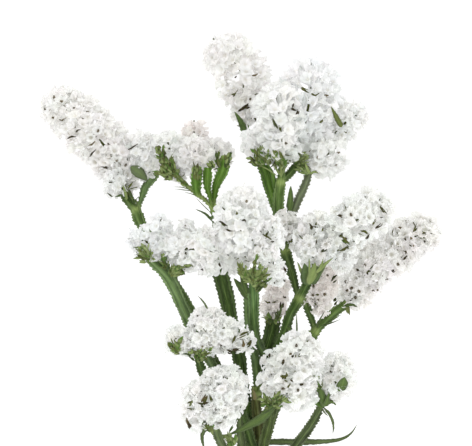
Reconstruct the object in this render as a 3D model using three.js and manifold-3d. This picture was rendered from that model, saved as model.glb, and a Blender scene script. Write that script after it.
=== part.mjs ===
// A cut stem of dried white statice, Limonium sinuatum, lying on a table.
//
// Frame, in millimetres: +Z is up and the table is at Z = 0, +Y runs from the cut end to the flowers,
// and the origin is under the middle of the plant.
// The stem is winged and forks again and again. Each fork ends in spikes of papery flower cups, and each
// spike is drawn here as the solid body that its packed cups fill. Leaves are thin strips at the forks.
//
// Every piece follows a route of its own, and together the routes are the plant's skeleton.

import * as THREE from "three";
import { mergeVertices } from "three/addons/utils/BufferGeometryUtils.js";
import Module from "manifold-3d";

// ---- Driving dimensions, mm -----------------------------------------------------------------

const CORE_RADIUS = 1.7; // the round middle of a stem
const WING_THICKNESS = 0.9;
const BRANCH_WING = 5.2; // from a branch's middle to the edge of a side wing
const RIDGE_SHARE = 0.5; // the wings above and below, as a share of the side wings
const LEAF_THICKNESS = 0.9;
const SEAT_GAP = 0.35; // what two pieces that grow on each other keep between them
const SPIKE_SWELL = 0.06; // how far a spike's lumps stand out, as a share of its radius
const SPIKE_LUMPS = 3; // lumps around a spike
const LUMP_TWIST = 0.25; // how far the lumps turn about the spike, radians per mm

const STEM_STEP = 13; // length of a stem between two rings of points
const LEAF_STEP = 9;
const SPIKE_STEP = 8;
const SPIKE_SIDES = 10;

const TABLE_SIZE = 600;
const TABLE_DEPTH = 60;

// ---- Skeleton: routes of [x, y, z] ----------------------------------------------------------

// Stems in the order in which they fork. Each route starts inside the stem that it grows on.
const STEMS = [
  {
    name: "main_stem",
    wing: 6,
    route: [[14, -169, 3], [14.5, -128, 11.5], [13.5, -90, 22], [10, -46, 43]],
  },
  {
    name: "branch_far_left",
    route: [[13, -112, 16], [4.5, -86.5, 22], [-10, -49, 33], [-19, -27, 38], [-28, -0.5, 38],
      [-37.5, 19, 36], [-48, 37.5, 33], [-57, 51, 28], [-63.5, 64.5, 22], [-68, 76, 19]],
  },
  {
    name: "branch_far_left_fork",
    wing: 3.6,
    route: [[-62.5, 63, 23], [-61, 72.5, 22], [-55.5, 81, 21]],
  },
  {
    name: "branch_mid_left",
    route: [[-16.5, -33, 38], [-29, -11, 50], [-35, 7, 57], [-40.5, 21, 60], [-47, 27, 62],
      [-53, 32, 63]],
  },
  {
    name: "branch_upper_left",
    route: [[12.5, -73, 27], [4.5, -44, 36], [-0.5, -26.5, 40], [-4, -5, 43], [-8, 14, 44],
      [-11, 30, 43], [-13.5, 46.5, 40], [-16, 62, 36], [-24, 72, 34], [-32, 80, 31]],
  },
  {
    name: "branch_upper_left_middle",
    wing: 3.8,
    route: [[-19, 66, 35], [-24, 73, 35], [-26.5, 82, 33]],
  },
  { name: "branch_upper_left_inner", wing: 4.4, route: [[-15, 60, 36], [-12, 72, 30], [-9.5, 84, 21]] },
  {
    name: "branch_right",
    wing: 5.6,
    route: [[10.5, -48, 42], [18, -23.5, 46], [26.5, -6.5, 48], [35.5, 7, 48], [42.5, 18.5, 49],
      [46, 29, 50]],
  },
  {
    name: "branch_top_right",
    route: [[34.5, 6, 48], [32, 30, 44], [27.5, 48, 41], [24.5, 67.5, 39], [24.5, 82, 41],
      [24.5, 94, 44]],
  },
  {
    name: "branch_top_right_outer",
    wing: 4.4,
    route: [[28, 46, 41], [32.5, 60.5, 36], [39, 75, 33], [43.5, 88, 31]],
  },
  { name: "branch_top_right_inner", wing: 3.6, route: [[25, 79, 40], [32, 86, 36], [37, 95, 32]] },
  {
    name: "branch_top",
    wing: 4.6,
    route: [[26.5, 53, 40], [19, 71, 31], [12.5, 91, 22], [7.5, 108.5, 15], [6, 117, 13]],
  },
  { name: "branch_middle", wing: 3, route: [[30, 38, 43], [30, 45, 46], [30.5, 52, 48]] },
  {
    name: "branch_centre",
    wing: 5.4,
    route: [[10, -51, 42], [9.5, -23, 60], [9, -4, 73], [8, 13, 81], [7, 28, 86]],
  },
  { name: "branch_inner", wing: 4, route: [[15, -30, 45], [17, -18, 45], [18.5, -4, 45]] },
  {
    name: "branch_far_right",
    wing: 4.6,
    route: [[14, -86, 23], [24, -54, 20], [33.5, -36, 17], [41, -20.5, 15], [47.5, -9, 13.5],
      [56, -3, 13], [67, 5, 13]],
  },
  {
    name: "branch_far_right_inner",
    wing: 3.4,
    route: [[45.5, -12.5, 14], [43, -3, 18], [41.5, 6, 21]],
  },
  {
    name: "branch_low_left_upper",
    wing: 4.6,
    route: [[13, -99, 20], [-6.5, -61, 42], [-18.5, -43, 56], [-23.5, -33, 64], [-24, -22, 73]],
  },
  {
    name: "branch_low_left",
    wing: 4.6,
    route: [[14, -122, 12.5], [-0.5, -96.5, 36], [-9, -79.5, 60], [-14, -66, 76]],
  },
  {
    name: "branch_low_right",
    wing: 4.4,
    route: [[14, -104, 18], [17.5, -73, 48], [21, -57.5, 67], [23, -49, 77]],
  },
  {
    name: "branch_low_right_outer",
    wing: 4.8,
    route: [[14.3, -122, 12.5], [23.5, -96.5, 32], [33, -81.5, 46], [44.5, -66, 58], [51, -50, 67]],
  },
];

// Leaves, from the fork to the tip. width is the blade's widest.
const LEAVES = [
  {
    name: "leaf_base_right",
    width: 4,
    route: [[13, -80, 26], [28, -79.5, 27], [50, -80, 23], [63, -79.5, 19], [69, -76, 17],
      [73, -69, 15]],
  },
  {
    name: "leaf_low_right",
    width: 2,
    route: [[51, -58, 62], [55.5, -64, 61], [57, -68.5, 59], [56, -75, 56]],
  },
  {
    name: "leaf_low_left",
    width: 3,
    route: [[-15, -69.5, 72], [-20, -72, 71], [-22.5, -77, 68], [-20.5, -83, 65]],
  },
  {
    name: "leaf_low_cross",
    width: 5,
    route: [[19, -57.5, 72], [11.5, -63.5, 69], [2.5, -70, 65], [-6, -76, 60]],
  },
  { name: "leaf_upper_left", width: 1.8, route: [[-14, 52, 41], [-19, 58.5, 44], [-27, 62.5, 46]] },
  { name: "leaf_centre", width: 4, route: [[7.5, 7, 78], [3, 13.5, 80], [-2, 20, 80]] },
  { name: "leaf_top_right", width: 3.6, route: [[31, 58, 36], [31.5, 66, 37], [32, 75.5, 37]] },
];

// Spikes, from base to tip. The fourth number of a point is the spike's radius there.
const SPIKES = [
  {
    name: "spike_far_left_long",
    route: [[-66.5, 72, 19, 6], [-73, 88, 13, 11], [-87, 106, 13, 13.5], [-103, 120.5, 13, 13.5],
      [-123, 130, 11, 11]],
  },
  {
    name: "spike_far_left_inner",
    route: [[-56, 78, 20, 7], [-57.5, 90, 20, 10.5], [-56, 102, 18, 9.5]],
  },
  { name: "spike_far_left_lower", route: [[-67, 73, 24, 6], [-77, 79, 25, 9.5], [-86, 81, 22, 8]] },
  { name: "spike_upper_left_outer", route: [[-33, 78, 31, 7], [-41, 92, 28, 10], [-48, 108, 24, 9]] },
  {
    name: "spike_upper_left_middle",
    route: [[-25, 79, 33, 7], [-27, 91, 34, 11.5], [-26, 106, 30, 10]],
  },
  {
    name: "spike_upper_left_ball",
    route: [[-26.5, 100, 17, 6], [-28, 110, 15, 8.5], [-29, 118, 14, 7]],
  },
  {
    name: "spike_upper_left_inner",
    route: [[-9, 81, 21, 7], [-13.5, 94, 17.5, 11], [-17, 107, 15, 10]],
  },
  {
    name: "spike_top",
    route: [[6.5, 114, 13, 6], [6, 126, 13, 11], [3, 143, 15, 16], [-8.5, 168, 13.5, 14.5]],
  },
  { name: "spike_top_right_left", route: [[22.5, 87, 42, 7], [14, 98, 40, 12], [3, 109, 36, 11.5]] },
  {
    name: "spike_top_right_middle",
    route: [[25, 89, 44, 9], [26.5, 108, 48, 14], [23, 130, 42, 12.5]],
  },
  {
    name: "spike_top_right_crown",
    route: [[36.5, 92, 32, 8], [41.5, 116, 30, 16.5], [44, 133, 28, 18], [46, 152, 24, 15]],
  },
  { name: "spike_top_right_outer", route: [[43, 84, 31, 8], [50, 93, 31, 15.5], [61, 105, 27, 12.5]] },
  { name: "spike_top_right_far", route: [[57, 104, 22, 7], [68, 114, 20, 10.5], [81, 121, 15, 8.5]] },
  { name: "spike_mid_left_outer", route: [[-51, 31, 63, 6], [-56, 41, 66, 11.5], [-63, 50, 62, 9.5]] },
  {
    name: "spike_mid_left_long",
    route: [[-41, 24.5, 62, 4], [-35, 38, 67, 12], [-19, 40, 72, 13], [-4, 31, 71, 10]],
  },
  { name: "spike_centre_top", route: [[3, 33, 84, 9], [0.5, 52, 86, 17], [0.5, 74, 80, 13]] },
  { name: "spike_centre_right", route: [[9, 30, 86, 8], [17, 40, 88, 13], [25.5, 54, 82, 10.5]] },
  { name: "spike_centre_low", route: [[13, 31, 82, 6], [20.5, 24, 82, 9], [24, 11, 77, 7.5]] },
  { name: "spike_middle", route: [[30.5, 47, 46, 5], [30.5, 56, 50, 10], [28, 66, 48, 8.5]] },
  { name: "spike_right_upright", route: [[45, 27, 50, 7], [45, 41, 53, 13.5], [44, 59, 50, 12]] },
  {
    name: "spike_right_long",
    route: [[51, 31, 50, 8], [61.5, 46, 48, 12], [73, 59, 44, 14], [88, 71, 38, 12]],
  },
  {
    name: "spike_far_right_long",
    route: [[65, 1, 13, 7], [74, 17, 13, 13], [93, 33.5, 12.5, 13.5], [110, 45, 11, 12],
      [124, 50.5, 9, 8.5]],
  },
  { name: "spike_far_right_inner", route: [[41.5, 2, 20, 6], [46.5, 11, 22, 10.5], [52, 24, 20, 9]] },
  { name: "spike_inner", route: [[18, -9, 45, 6], [19.5, 2, 45, 8.5], [25, 19, 43, 7.5]] },
  { name: "spike_low_left_small", route: [[-25, -23, 73, 5], [-34, -17, 75, 8], [-43, -12, 72, 7]] },
  {
    name: "spike_low_left_upright",
    route: [[-22, -25, 74, 7], [-16, -11, 78, 13.5], [-12.5, 5, 74, 11.5]],
  },
  {
    name: "spike_low_left_inner",
    route: [[-14, -23, 76, 7], [-3, -16, 78, 11.5], [9, -12.5, 74, 9.5]],
  },
  { name: "spike_low_outer", route: [[-17, -66, 77, 7], [-22, -58, 80, 12.5], [-31, -48, 76, 11]] },
  { name: "spike_low_upright", route: [[-12, -68, 77, 8], [-8, -51, 82, 16], [-7, -30, 76, 14]] },
  { name: "spike_low_right_inner", route: [[21.5, -52, 77, 6], [17, -43, 78, 11], [14, -29, 74, 9.5]] },
  {
    name: "spike_low_right_upright",
    route: [[26, -54, 77, 8], [31, -36, 82, 16], [33.5, -13, 76, 13.5]],
  },
  {
    name: "spike_low_right_outer",
    route: [[50.5, -53, 66, 6], [54, -41, 68, 12.5], [60, -23, 64, 11]],
  },
];

// ---- Solids ---------------------------------------------------------------------------------

const wasm = await Module();
wasm.setup();

const UP = new THREE.Vector3(0, 0, 1);

/** A closed geometry as a manifold-3d solid. */
function solidOf(geometry) {
  const bare = geometry.clone();
  bare.deleteAttribute("normal");
  bare.deleteAttribute("uv");
  const merged = mergeVertices(bare, 1e-4);
  return new wasm.Manifold(
    new wasm.Mesh({
      numProp: 3,
      vertProperties: merged.attributes.position.array,
      triVerts: new Uint32Array(merged.index.array),
    }),
  );
}

/** A manifold-3d solid as a geometry. */
function geometryOf(solid) {
  const mesh = solid.getMesh();
  const geometry = new THREE.BufferGeometry();
  geometry.setAttribute("position", new THREE.BufferAttribute(mesh.vertProperties, 3));
  geometry.setIndex(new THREE.BufferAttribute(mesh.triVerts, 1));
  geometry.computeVertexNormals();
  return geometry;
}

/** The smooth line through a route's points, which runs on past both ends by a gap. */
function curveThrough(route, gap) {
  const points = route.map(([x, y, z]) => new THREE.Vector3(x, y, z));
  const lengthen = (end, next) => end.addScaledVector(end.clone().sub(next).normalize(), gap);
  lengthen(points[0], points[1]);
  lengthen(points.at(-1), points.at(-2));
  return new THREE.CatmullRomCurve3(points, false, "centripetal");
}

/** Extrudes an outline along a route. Halfway along, the outline's x lies level with the table. */
function extrudeAlong(route, outline, step, gap) {
  const curve = curveThrough(route, gap);
  const steps = Math.max(3, Math.round((curve.getLength() - 2 * gap) / step));
  const { normals, binormals } = curve.computeFrenetFrames(steps, false);
  const middle = Math.round(steps / 2);
  const level = new THREE.Vector3().crossVectors(curve.getTangentAt(middle / steps), UP).normalize();
  const turn = Math.atan2(level.dot(binormals[middle]), level.dot(normals[middle]));
  const centre = new THREE.Vector2();
  const shape = new THREE.Shape(outline.map((point) => point.clone().rotateAround(centre, turn)));
  return solidOf(new THREE.ExtrudeGeometry(shape, { steps, bevelEnabled: false, extrudePath: curve }));
}

/** A stem: a core with two wide wings to its sides, and narrow ones above and below. */
function stemSolid({ route, wing = BRANCH_WING }, gap = 0) {
  const quarter = Math.PI / 2;
  const centre = new THREE.Vector2();
  const outline = [];
  for (let i = 0; i < 4; i++) {
    const reach = wing * (i % 2 ? RIDGE_SHARE : 1) + gap;
    const edge = WING_THICKNESS / 2 + gap;
    outline.push(new THREE.Vector2(reach, -edge).rotateAround(centre, i * quarter));
    outline.push(new THREE.Vector2(reach, edge).rotateAround(centre, i * quarter));
    outline.push(new THREE.Vector2(CORE_RADIUS + gap, 0).rotateAround(centre, (i + 0.5) * quarter));
  }
  return extrudeAlong(route, outline, STEM_STEP, gap);
}

/** A leaf: a narrow blade with a raised middle. */
function leafSolid({ route, width }, gap = 0) {
  const half = width / 2 + gap;
  const raised = LEAF_THICKNESS / 2 + gap;
  const outline = [
    new THREE.Vector2(half, 0),
    new THREE.Vector2(half / 2, raised),
    new THREE.Vector2(-half / 2, raised),
    new THREE.Vector2(-half, 0),
    new THREE.Vector2(-half / 2, -raised),
    new THREE.Vector2(half / 2, -raised),
  ];
  return extrudeAlong(route, outline, LEAF_STEP, gap);
}

/** A spike: a sphere drawn out along its curve, as thick as its route says and a little lumpy. */
function spikeSolid({ route }, gap = 0) {
  const curve = curveThrough(route, gap);
  const length = curve.getLength();
  const rings = Math.round((length - 2 * gap) / SPIKE_STEP) + 4;
  const radii = route.map((point) => point[3]);
  const geometry = new THREE.SphereGeometry(1, SPIKE_SIDES, rings);
  const position = geometry.attributes.position;
  const spot = new THREE.Vector3();
  for (let i = 0; i < position.count; i++) {
    spot.fromBufferAttribute(position, i);
    const t = THREE.MathUtils.clamp((1 + spot.y) / 2, 0, 1);
    const place = t * (radii.length - 1);
    const before = Math.min(Math.floor(place), radii.length - 2);
    const radius = THREE.MathUtils.lerp(radii[before], radii[before + 1], place - before);
    const fromEnd = Math.min(1, (Math.min(t, 1 - t) * length) / radius);
    const dome = Math.sqrt(1 - (1 - fromEnd) ** 2);
    const angle = Math.atan2(spot.z, spot.x);
    const lumps = 1 + SPIKE_SWELL * Math.sin(SPIKE_LUMPS * angle + t * length * LUMP_TWIST);
    const reach = fromEnd > 0 ? radius * dome * lumps + gap : 0;
    const tangent = curve.getTangentAt(t);
    const side = new THREE.Vector3().crossVectors(tangent, UP).normalize();
    const above = new THREE.Vector3().crossVectors(side, tangent);
    spot.copy(curve.getPointAt(t));
    spot.addScaledVector(side, reach * Math.cos(angle)).addScaledVector(above, reach * Math.sin(angle));
    position.setXYZ(i, spot.x, spot.y, spot.z);
  }
  return solidOf(geometry);
}

/** The largest of a solid's separate pieces. */
function largestOf(solid) {
  return solid.decompose().reduce((a, b) => (a.volume() > b.volume() ? a : b));
}

const table = solidOf(
  new THREE.BoxGeometry(TABLE_SIZE, TABLE_SIZE, TABLE_DEPTH).translate(0, 0, -TABLE_DEPTH / 2),
);

// ---- Materials ------------------------------------------------------------------------------

const materials = {
  stem: new THREE.MeshStandardMaterial({ color: 0x4a7030, roughness: 0.75, metalness: 0 }),
  leaf: new THREE.MeshStandardMaterial({ color: 0x3f6a34, roughness: 0.7, metalness: 0 }),
  spike: new THREE.MeshStandardMaterial({ color: 0xf0efec, roughness: 0.9, metalness: 0 }),
};

// ---- The plant ------------------------------------------------------------------------------

const statice = new THREE.Group();
const grown = []; // each piece so far, a little swollen, so that a later piece leaves a gap to it

/** Adds each piece of a list, cut clear of the table and of every piece before it. */
function grow(pieces, solidFor, material) {
  for (const piece of pieces) {
    let solid = solidFor(piece).subtract(table);
    for (const earlier of grown) solid = solid.subtract(earlier);
    const mesh = new THREE.Mesh(geometryOf(largestOf(solid)), material);
    mesh.name = piece.name;
    statice.add(mesh);
    grown.push(solidFor(piece, SEAT_GAP));
  }
}

grow(STEMS, stemSolid, materials.stem);
grow(LEAVES, leafSolid, materials.leaf);
grow(SPIKES, spikeSolid, materials.spike);

export default statice;
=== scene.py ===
"""A cut, branching stem of dried white statice that lies on a pale surface, seen from above."""

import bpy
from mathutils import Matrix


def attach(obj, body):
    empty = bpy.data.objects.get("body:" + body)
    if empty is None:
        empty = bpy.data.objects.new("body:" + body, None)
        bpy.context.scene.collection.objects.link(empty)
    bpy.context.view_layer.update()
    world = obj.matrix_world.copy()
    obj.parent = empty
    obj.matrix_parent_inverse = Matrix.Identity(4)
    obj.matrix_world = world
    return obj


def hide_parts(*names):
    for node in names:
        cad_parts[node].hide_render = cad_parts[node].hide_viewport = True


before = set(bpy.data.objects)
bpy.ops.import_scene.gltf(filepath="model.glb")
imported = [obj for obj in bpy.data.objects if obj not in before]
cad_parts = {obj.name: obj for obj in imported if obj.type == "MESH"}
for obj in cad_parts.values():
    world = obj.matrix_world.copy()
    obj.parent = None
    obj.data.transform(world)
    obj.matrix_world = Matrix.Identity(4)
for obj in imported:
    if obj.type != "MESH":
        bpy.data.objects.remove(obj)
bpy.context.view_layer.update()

import math

import bpy
import numpy as np
from mathutils import Vector

# Sizes are in millimetres until a mesh is made.
MM = 0.001
TAU = 2 * math.pi
SEED = 4534

# The view: a camera straight above, and the size of one of its pixels at VIEW_LEVEL.
PICTURE = (472, 446)
VIEW_HEIGHT = 2000
VIEW_LEVEL = 60
PIXEL = 0.6
VIEW_CENTRE = (-1.5, 52.6)
SENSOR = 36

# The plant's routes follow the CAD model's. Their points are given in the view: across and
# down in its pixels, then the height. The last number, where there is a fourth, is a real size.

# A stem: tint (or its tints at the foot and tip, and how late it changes), how much painted shade darkens
# its left (-) or right (+) wing, its twist in degrees from start to end, and its route with the half width
# across the wings.
STEMS = {
    "main_stem": ("brown", 0, (10, -10), [(261.1, 581.8, 3, 4.8), (262, 516.7, 11.5, 4.8),
        (260, 456.1, 22, 4.5), (258.5, 430, 30, 3.9), (256, 400, 39, 3), (256, 386, 43, 2.7)]),
    "branch_far_left": ("mid", 0.2, (10, 15), [(259.6, 491.2, 16, 3.6), (251, 450, 20, 3.3),
        (243, 415, 26, 3.6), (230, 388, 31, 3.6), (211, 358, 36, 3.6), (199, 332, 38, 3.3),
        (191.5, 312, 38, 3.3), (184, 300, 37, 3.3), (177, 288, 36.5, 3.3), (168, 272, 36, 3.3),
        (157, 250, 33, 3.3), (146, 233, 30, 3.3), (139.5, 221, 28, 3.8), (136, 211, 24.5, 3.7),
        (130.5, 204, 22.5, 2.9), (125, 195.5, 21, 2.9), (120.5, 187, 20, 2.4)]),
    "branch_far_left_fork": ("light", 0, (20, 20), [(137.5, 209, 24, 1.8), (141.5, 198, 23, 1.8),
        (145.5, 187, 22.5, 3), (151.5, 178.5, 22, 3.3), (158.5, 171.5, 21.5, 2.4)]),
    "branch_mid_left": ("light", 0.2, (5, 15), [(248, 425, 34, 3), (237, 405, 36, 3.3),
        (224, 385, 37, 3.3), (213, 366, 38, 3.3), (203.5, 347, 45, 3.7), (191, 325, 51, 3.9),
        (184, 310, 55, 3.8), (179.5, 300, 57, 3.8), (174.5, 289, 59, 3.8), (169, 278.5, 61, 3.8),
        (163, 271, 62, 3.6), (154.5, 263, 63, 3.3), (147, 256.5, 64, 2.7)]),
    "branch_upper_left": (("dark", "light", 6), 0, (0, 5), [(255, 440, 26, 3.6), (248, 412, 32, 3.6),
        (243.5, 388, 36, 3.7), (241, 374, 37.5, 3.8), (239.5, 360, 39, 4.1), (235.5, 340, 41, 4.1),
        (230.5, 317, 43, 4.4), (227, 300, 44, 4.8), (223, 283, 44, 4.8), (219, 264, 43, 4.8),
        (217, 238, 40, 3), (215.5, 222, 37.5, 2.2), (213.5, 211, 36.5, 2), (212.5, 205, 36.5, 1.7)]),
    "branch_upper_left_middle": ("fresh", 0, (0, 5), [(199, 197, 36, 1.3), (196.8, 190.5, 38, 2.6),
        (196, 181, 41, 3.4), (196.8, 172, 44, 3.2), (197, 166.5, 45.5, 2.4)]),
    "branch_upper_left_inner": ("fresh", 0, (0, 5), [(213.8, 209, 37, 1.6), (215, 192, 36.5, 2),
        (218, 181, 36, 2.9), (222.5, 171.5, 35.5, 3.4), (224.3, 162, 34.5, 3), (224.5, 156, 33.5, 2.3)]),
    "branch_right": ("deep", 0.3, (-5, -10), [(258, 386, 42, 2.7), (265, 370, 44.5, 2.7),
        (272.5, 355.5, 46, 2.7), (278.5, 345.5, 47, 2.7), (283, 335, 47.5, 2.9), (286.5, 325, 48, 3),
        (290.5, 314, 48.5, 3.2), (297, 302.5, 49, 3.5), (303, 291.5, 49.5, 3.2), (307.5, 283, 50.5, 2.8),
        (311.5, 275, 51.5, 2.7), (315.5, 265, 51.5, 2.7)]),
    "branch_top_right": ("mid", 0, (0, -5), [(298.5, 298, 48, 1.8), (295, 283.5, 46.5, 2.3),
        (290.8, 269.5, 45, 3.1), (286.8, 257, 44, 3.6), (284.5, 247, 43, 3.4), (281, 233, 42, 3.3),
        (278.7, 213, 40, 3.5), (279, 195, 39, 3.5), (281, 180, 40, 3), (281.5, 172, 41.5, 2.1),
        (280.5, 157, 44, 2.4)]),
    "branch_top_right_outer": ("silver", 0, (0, -5), [(285, 234, 41, 2.1), (289, 222, 38, 2.2),
        (294.3, 209, 36, 2.5), (300, 196, 34.5, 2.5), (304.3, 187, 33.5, 2.5), (307.7, 177.5, 32.5, 2.4),
        (310.5, 167, 31, 1.8)]),
    "branch_top_right_inner": ("mid", 0, (0, -10), [(280, 182, 40, 2.1), (286, 177, 38.5, 2.5),
        (292, 170.5, 36.5, 2.6), (298, 163, 34, 2.4), (300, 155, 32, 2.1)]),
    "branch_top": ("fresh", -0.2, (5, -5), [(282, 222, 40, 2.4), (276.5, 208, 36, 3.2),
        (272, 194, 32, 3.8), (268.3, 181, 29, 3.9), (264, 168, 25, 3.5), (255, 151, 20, 3),
        (246.5, 136, 15.5, 2.9), (244, 124, 13, 2.7)]),
    "branch_middle": ("mid", 0, (0, 10), [(287, 250, 43, 3), (288.3, 240, 46, 3), (288.5, 224, 48, 2.4)]),
    "branch_centre": (("dark", "jade", 2.5), 0, (0, 5), [(258, 394, 42, 3), (265, 374, 47, 3),
        (265, 360, 52, 3), (261, 349.5, 58, 2.9), (256, 338, 66, 2.9), (254.2, 326, 70, 3.2),
        (253.8, 312, 75, 3.4), (253.3, 297, 80, 3.5), (252.8, 283, 83, 2.9), (251.5, 270, 86, 2.7)]),
    "branch_inner": ("dark", 0, (5, -5), [(262, 366, 44, 2.7), (266, 352, 45, 3.6),
        (269.5, 339, 45.5, 4.5), (272.5, 327, 45.5, 4.8), (274.5, 316, 45, 3.6)]),
    "branch_far_right": ("mid", 0.2, (0, -5), [(261.3, 449.7, 23, 3), (278, 400, 20, 3.3),
        (293, 370, 17, 3.3), (307, 347, 15, 3.3), (315, 331.5, 14, 3.3), (321.5, 324.5, 13.5, 3),
        (327.5, 318.5, 13.5, 3.3), (334.5, 312.5, 13, 3.3), (341, 307.5, 13, 2.9), (348, 302, 13, 2.4)]),
    "branch_far_right_inner": ("mid", 0, (0, 5), [(315, 331, 14.5, 1.8), (313.5, 325, 15.5, 2),
        (310.5, 316.5, 17.5, 2.3), (307.5, 308, 19, 2.4), (305, 299, 21, 2.1)]),
    "branch_low_left_upper": ("deep", 0, (0, 10), [(259.7, 470.6, 20, 3), (248, 432, 38, 3),
        (238, 408, 46, 3), (222, 391, 53, 3), (208, 381, 58, 3.1), (202, 370, 64, 3),
        (199, 358.5, 69, 2.4), (199, 348, 73, 2.4)]),
    "branch_low_left": ("grey", 0, (5, 5), [(261, 507, 12.5, 3.6), (240, 473, 34, 3.3), (225, 450, 56, 3),
        (218.5, 437, 67, 2.8), (214.5, 426, 76, 2.4)]),
    "branch_low_right": ("moss", 0, (0, 0), [(261, 478.5, 18, 3), (263.5, 446, 38, 3.2),
        (268, 428, 50, 3.4), (272.5, 411, 66, 3), (276, 396, 77, 2.4)]),
    "branch_low_right_outer": ("grey", 0.4, (0, -5), [(261.7, 507, 12.5, 3.6), (279, 470, 32, 3.3),
        (295.5, 446, 44, 3.1), (303.5, 435.5, 49, 3.1), (310.5, 426, 54, 2.9), (316, 416, 59, 2.7),
        (320.5, 407, 63, 2.3), (324, 396, 67, 2.1)]),
}

# Second, smaller stems of a piece: the piece, then as for a stem.
OFFSHOOTS = [
    ("branch_centre", ("dark", "light", 0.6), 0, (0, 5), [(257, 425, 31, 2.4), (257.5, 400, 36, 2.5),
        (257.5, 380, 42, 2.6), (256, 362, 48, 3), (253, 349, 54, 2.6), (249.5, 335, 58, 2),
        (247, 318, 62, 1.8), (246, 298, 66, 1.6)]),
    ("main_stem", "dark", 0, (0, 5), [(258, 500, 12, 3.6), (250, 462, 20, 3.6), (247, 440, 26, 3.9),
        (246, 420, 32, 3.9), (248, 402, 38, 2.4)]),
    ("main_stem", "grey", 0.3, (0, 5), [(256, 500, 12, 3), (245, 462, 26, 3), (241, 440, 36, 2.7),
        (240, 424, 42, 2.1), (242, 410, 46, 1.5)]),
    ("branch_upper_left", "pale", 0.3, (0, 5), [(213, 208.5, 37, 1.3), (205, 200, 35.5, 1.3),
        (198, 194.5, 35, 1.6), (190, 188, 34, 1.3), (182, 182, 33, 1.1), (176, 178, 32, 0.9)]),
    ("branch_upper_left_inner", "fresh", 0, (0, 5), [(212.3, 207, 38.5, 0.7), (209.8, 197, 39, 1.4),
        (207.4, 186, 40, 2.4), (207.3, 176, 40.5, 2.9), (208, 167.5, 40.5, 2.2)]),
]

# A leaf: half width, how far it is turned on its edge in degrees, tint, route.
LEAVES = {
    "leaf_base_right": (2, 0, "grey", [(248, 442, 26), (266, 442, 27), (285, 441.8, 27),
        (315, 441.8, 23.5), (332, 440.8, 20.5), (343, 438.3, 19), (351, 433.3, 17), (357.5, 424, 15)]),
    "leaf_low_right": (0.9, 0, "grey", [(323.6, 407.5, 63), (329, 413.5, 62), (332.5, 421, 60.5),
        (333.5, 428, 59), (332.7, 434, 57)]),
    "leaf_low_left": (1.5, 20, "grey", [(211.5, 425.5, 73), (205.5, 428.5, 72), (202, 436, 69),
        (204, 449, 65)]),
    "leaf_low_cross": (2.8, 10, "mid", [(275, 405, 72), (262, 417.5, 70), (250, 424.5, 67),
        (240, 430, 64), (229, 434.5, 60)]),
    "leaf_upper_left": (0.8, 0, "dark", [(216, 223.5, 41), (210, 218, 43), (204, 213, 44.5),
        (195, 209, 46)]),
    "leaf_centre": (2.6, 20, "dark", [(250, 300, 79), (243.5, 290, 80.5), (233.5, 278, 80.5)]),
    "leaf_top_right": (2.2, 0, "mid", [(289.5, 214, 36.5), (290.3, 201, 37.5), (290.8, 185.5, 37.5)]),
}

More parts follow.
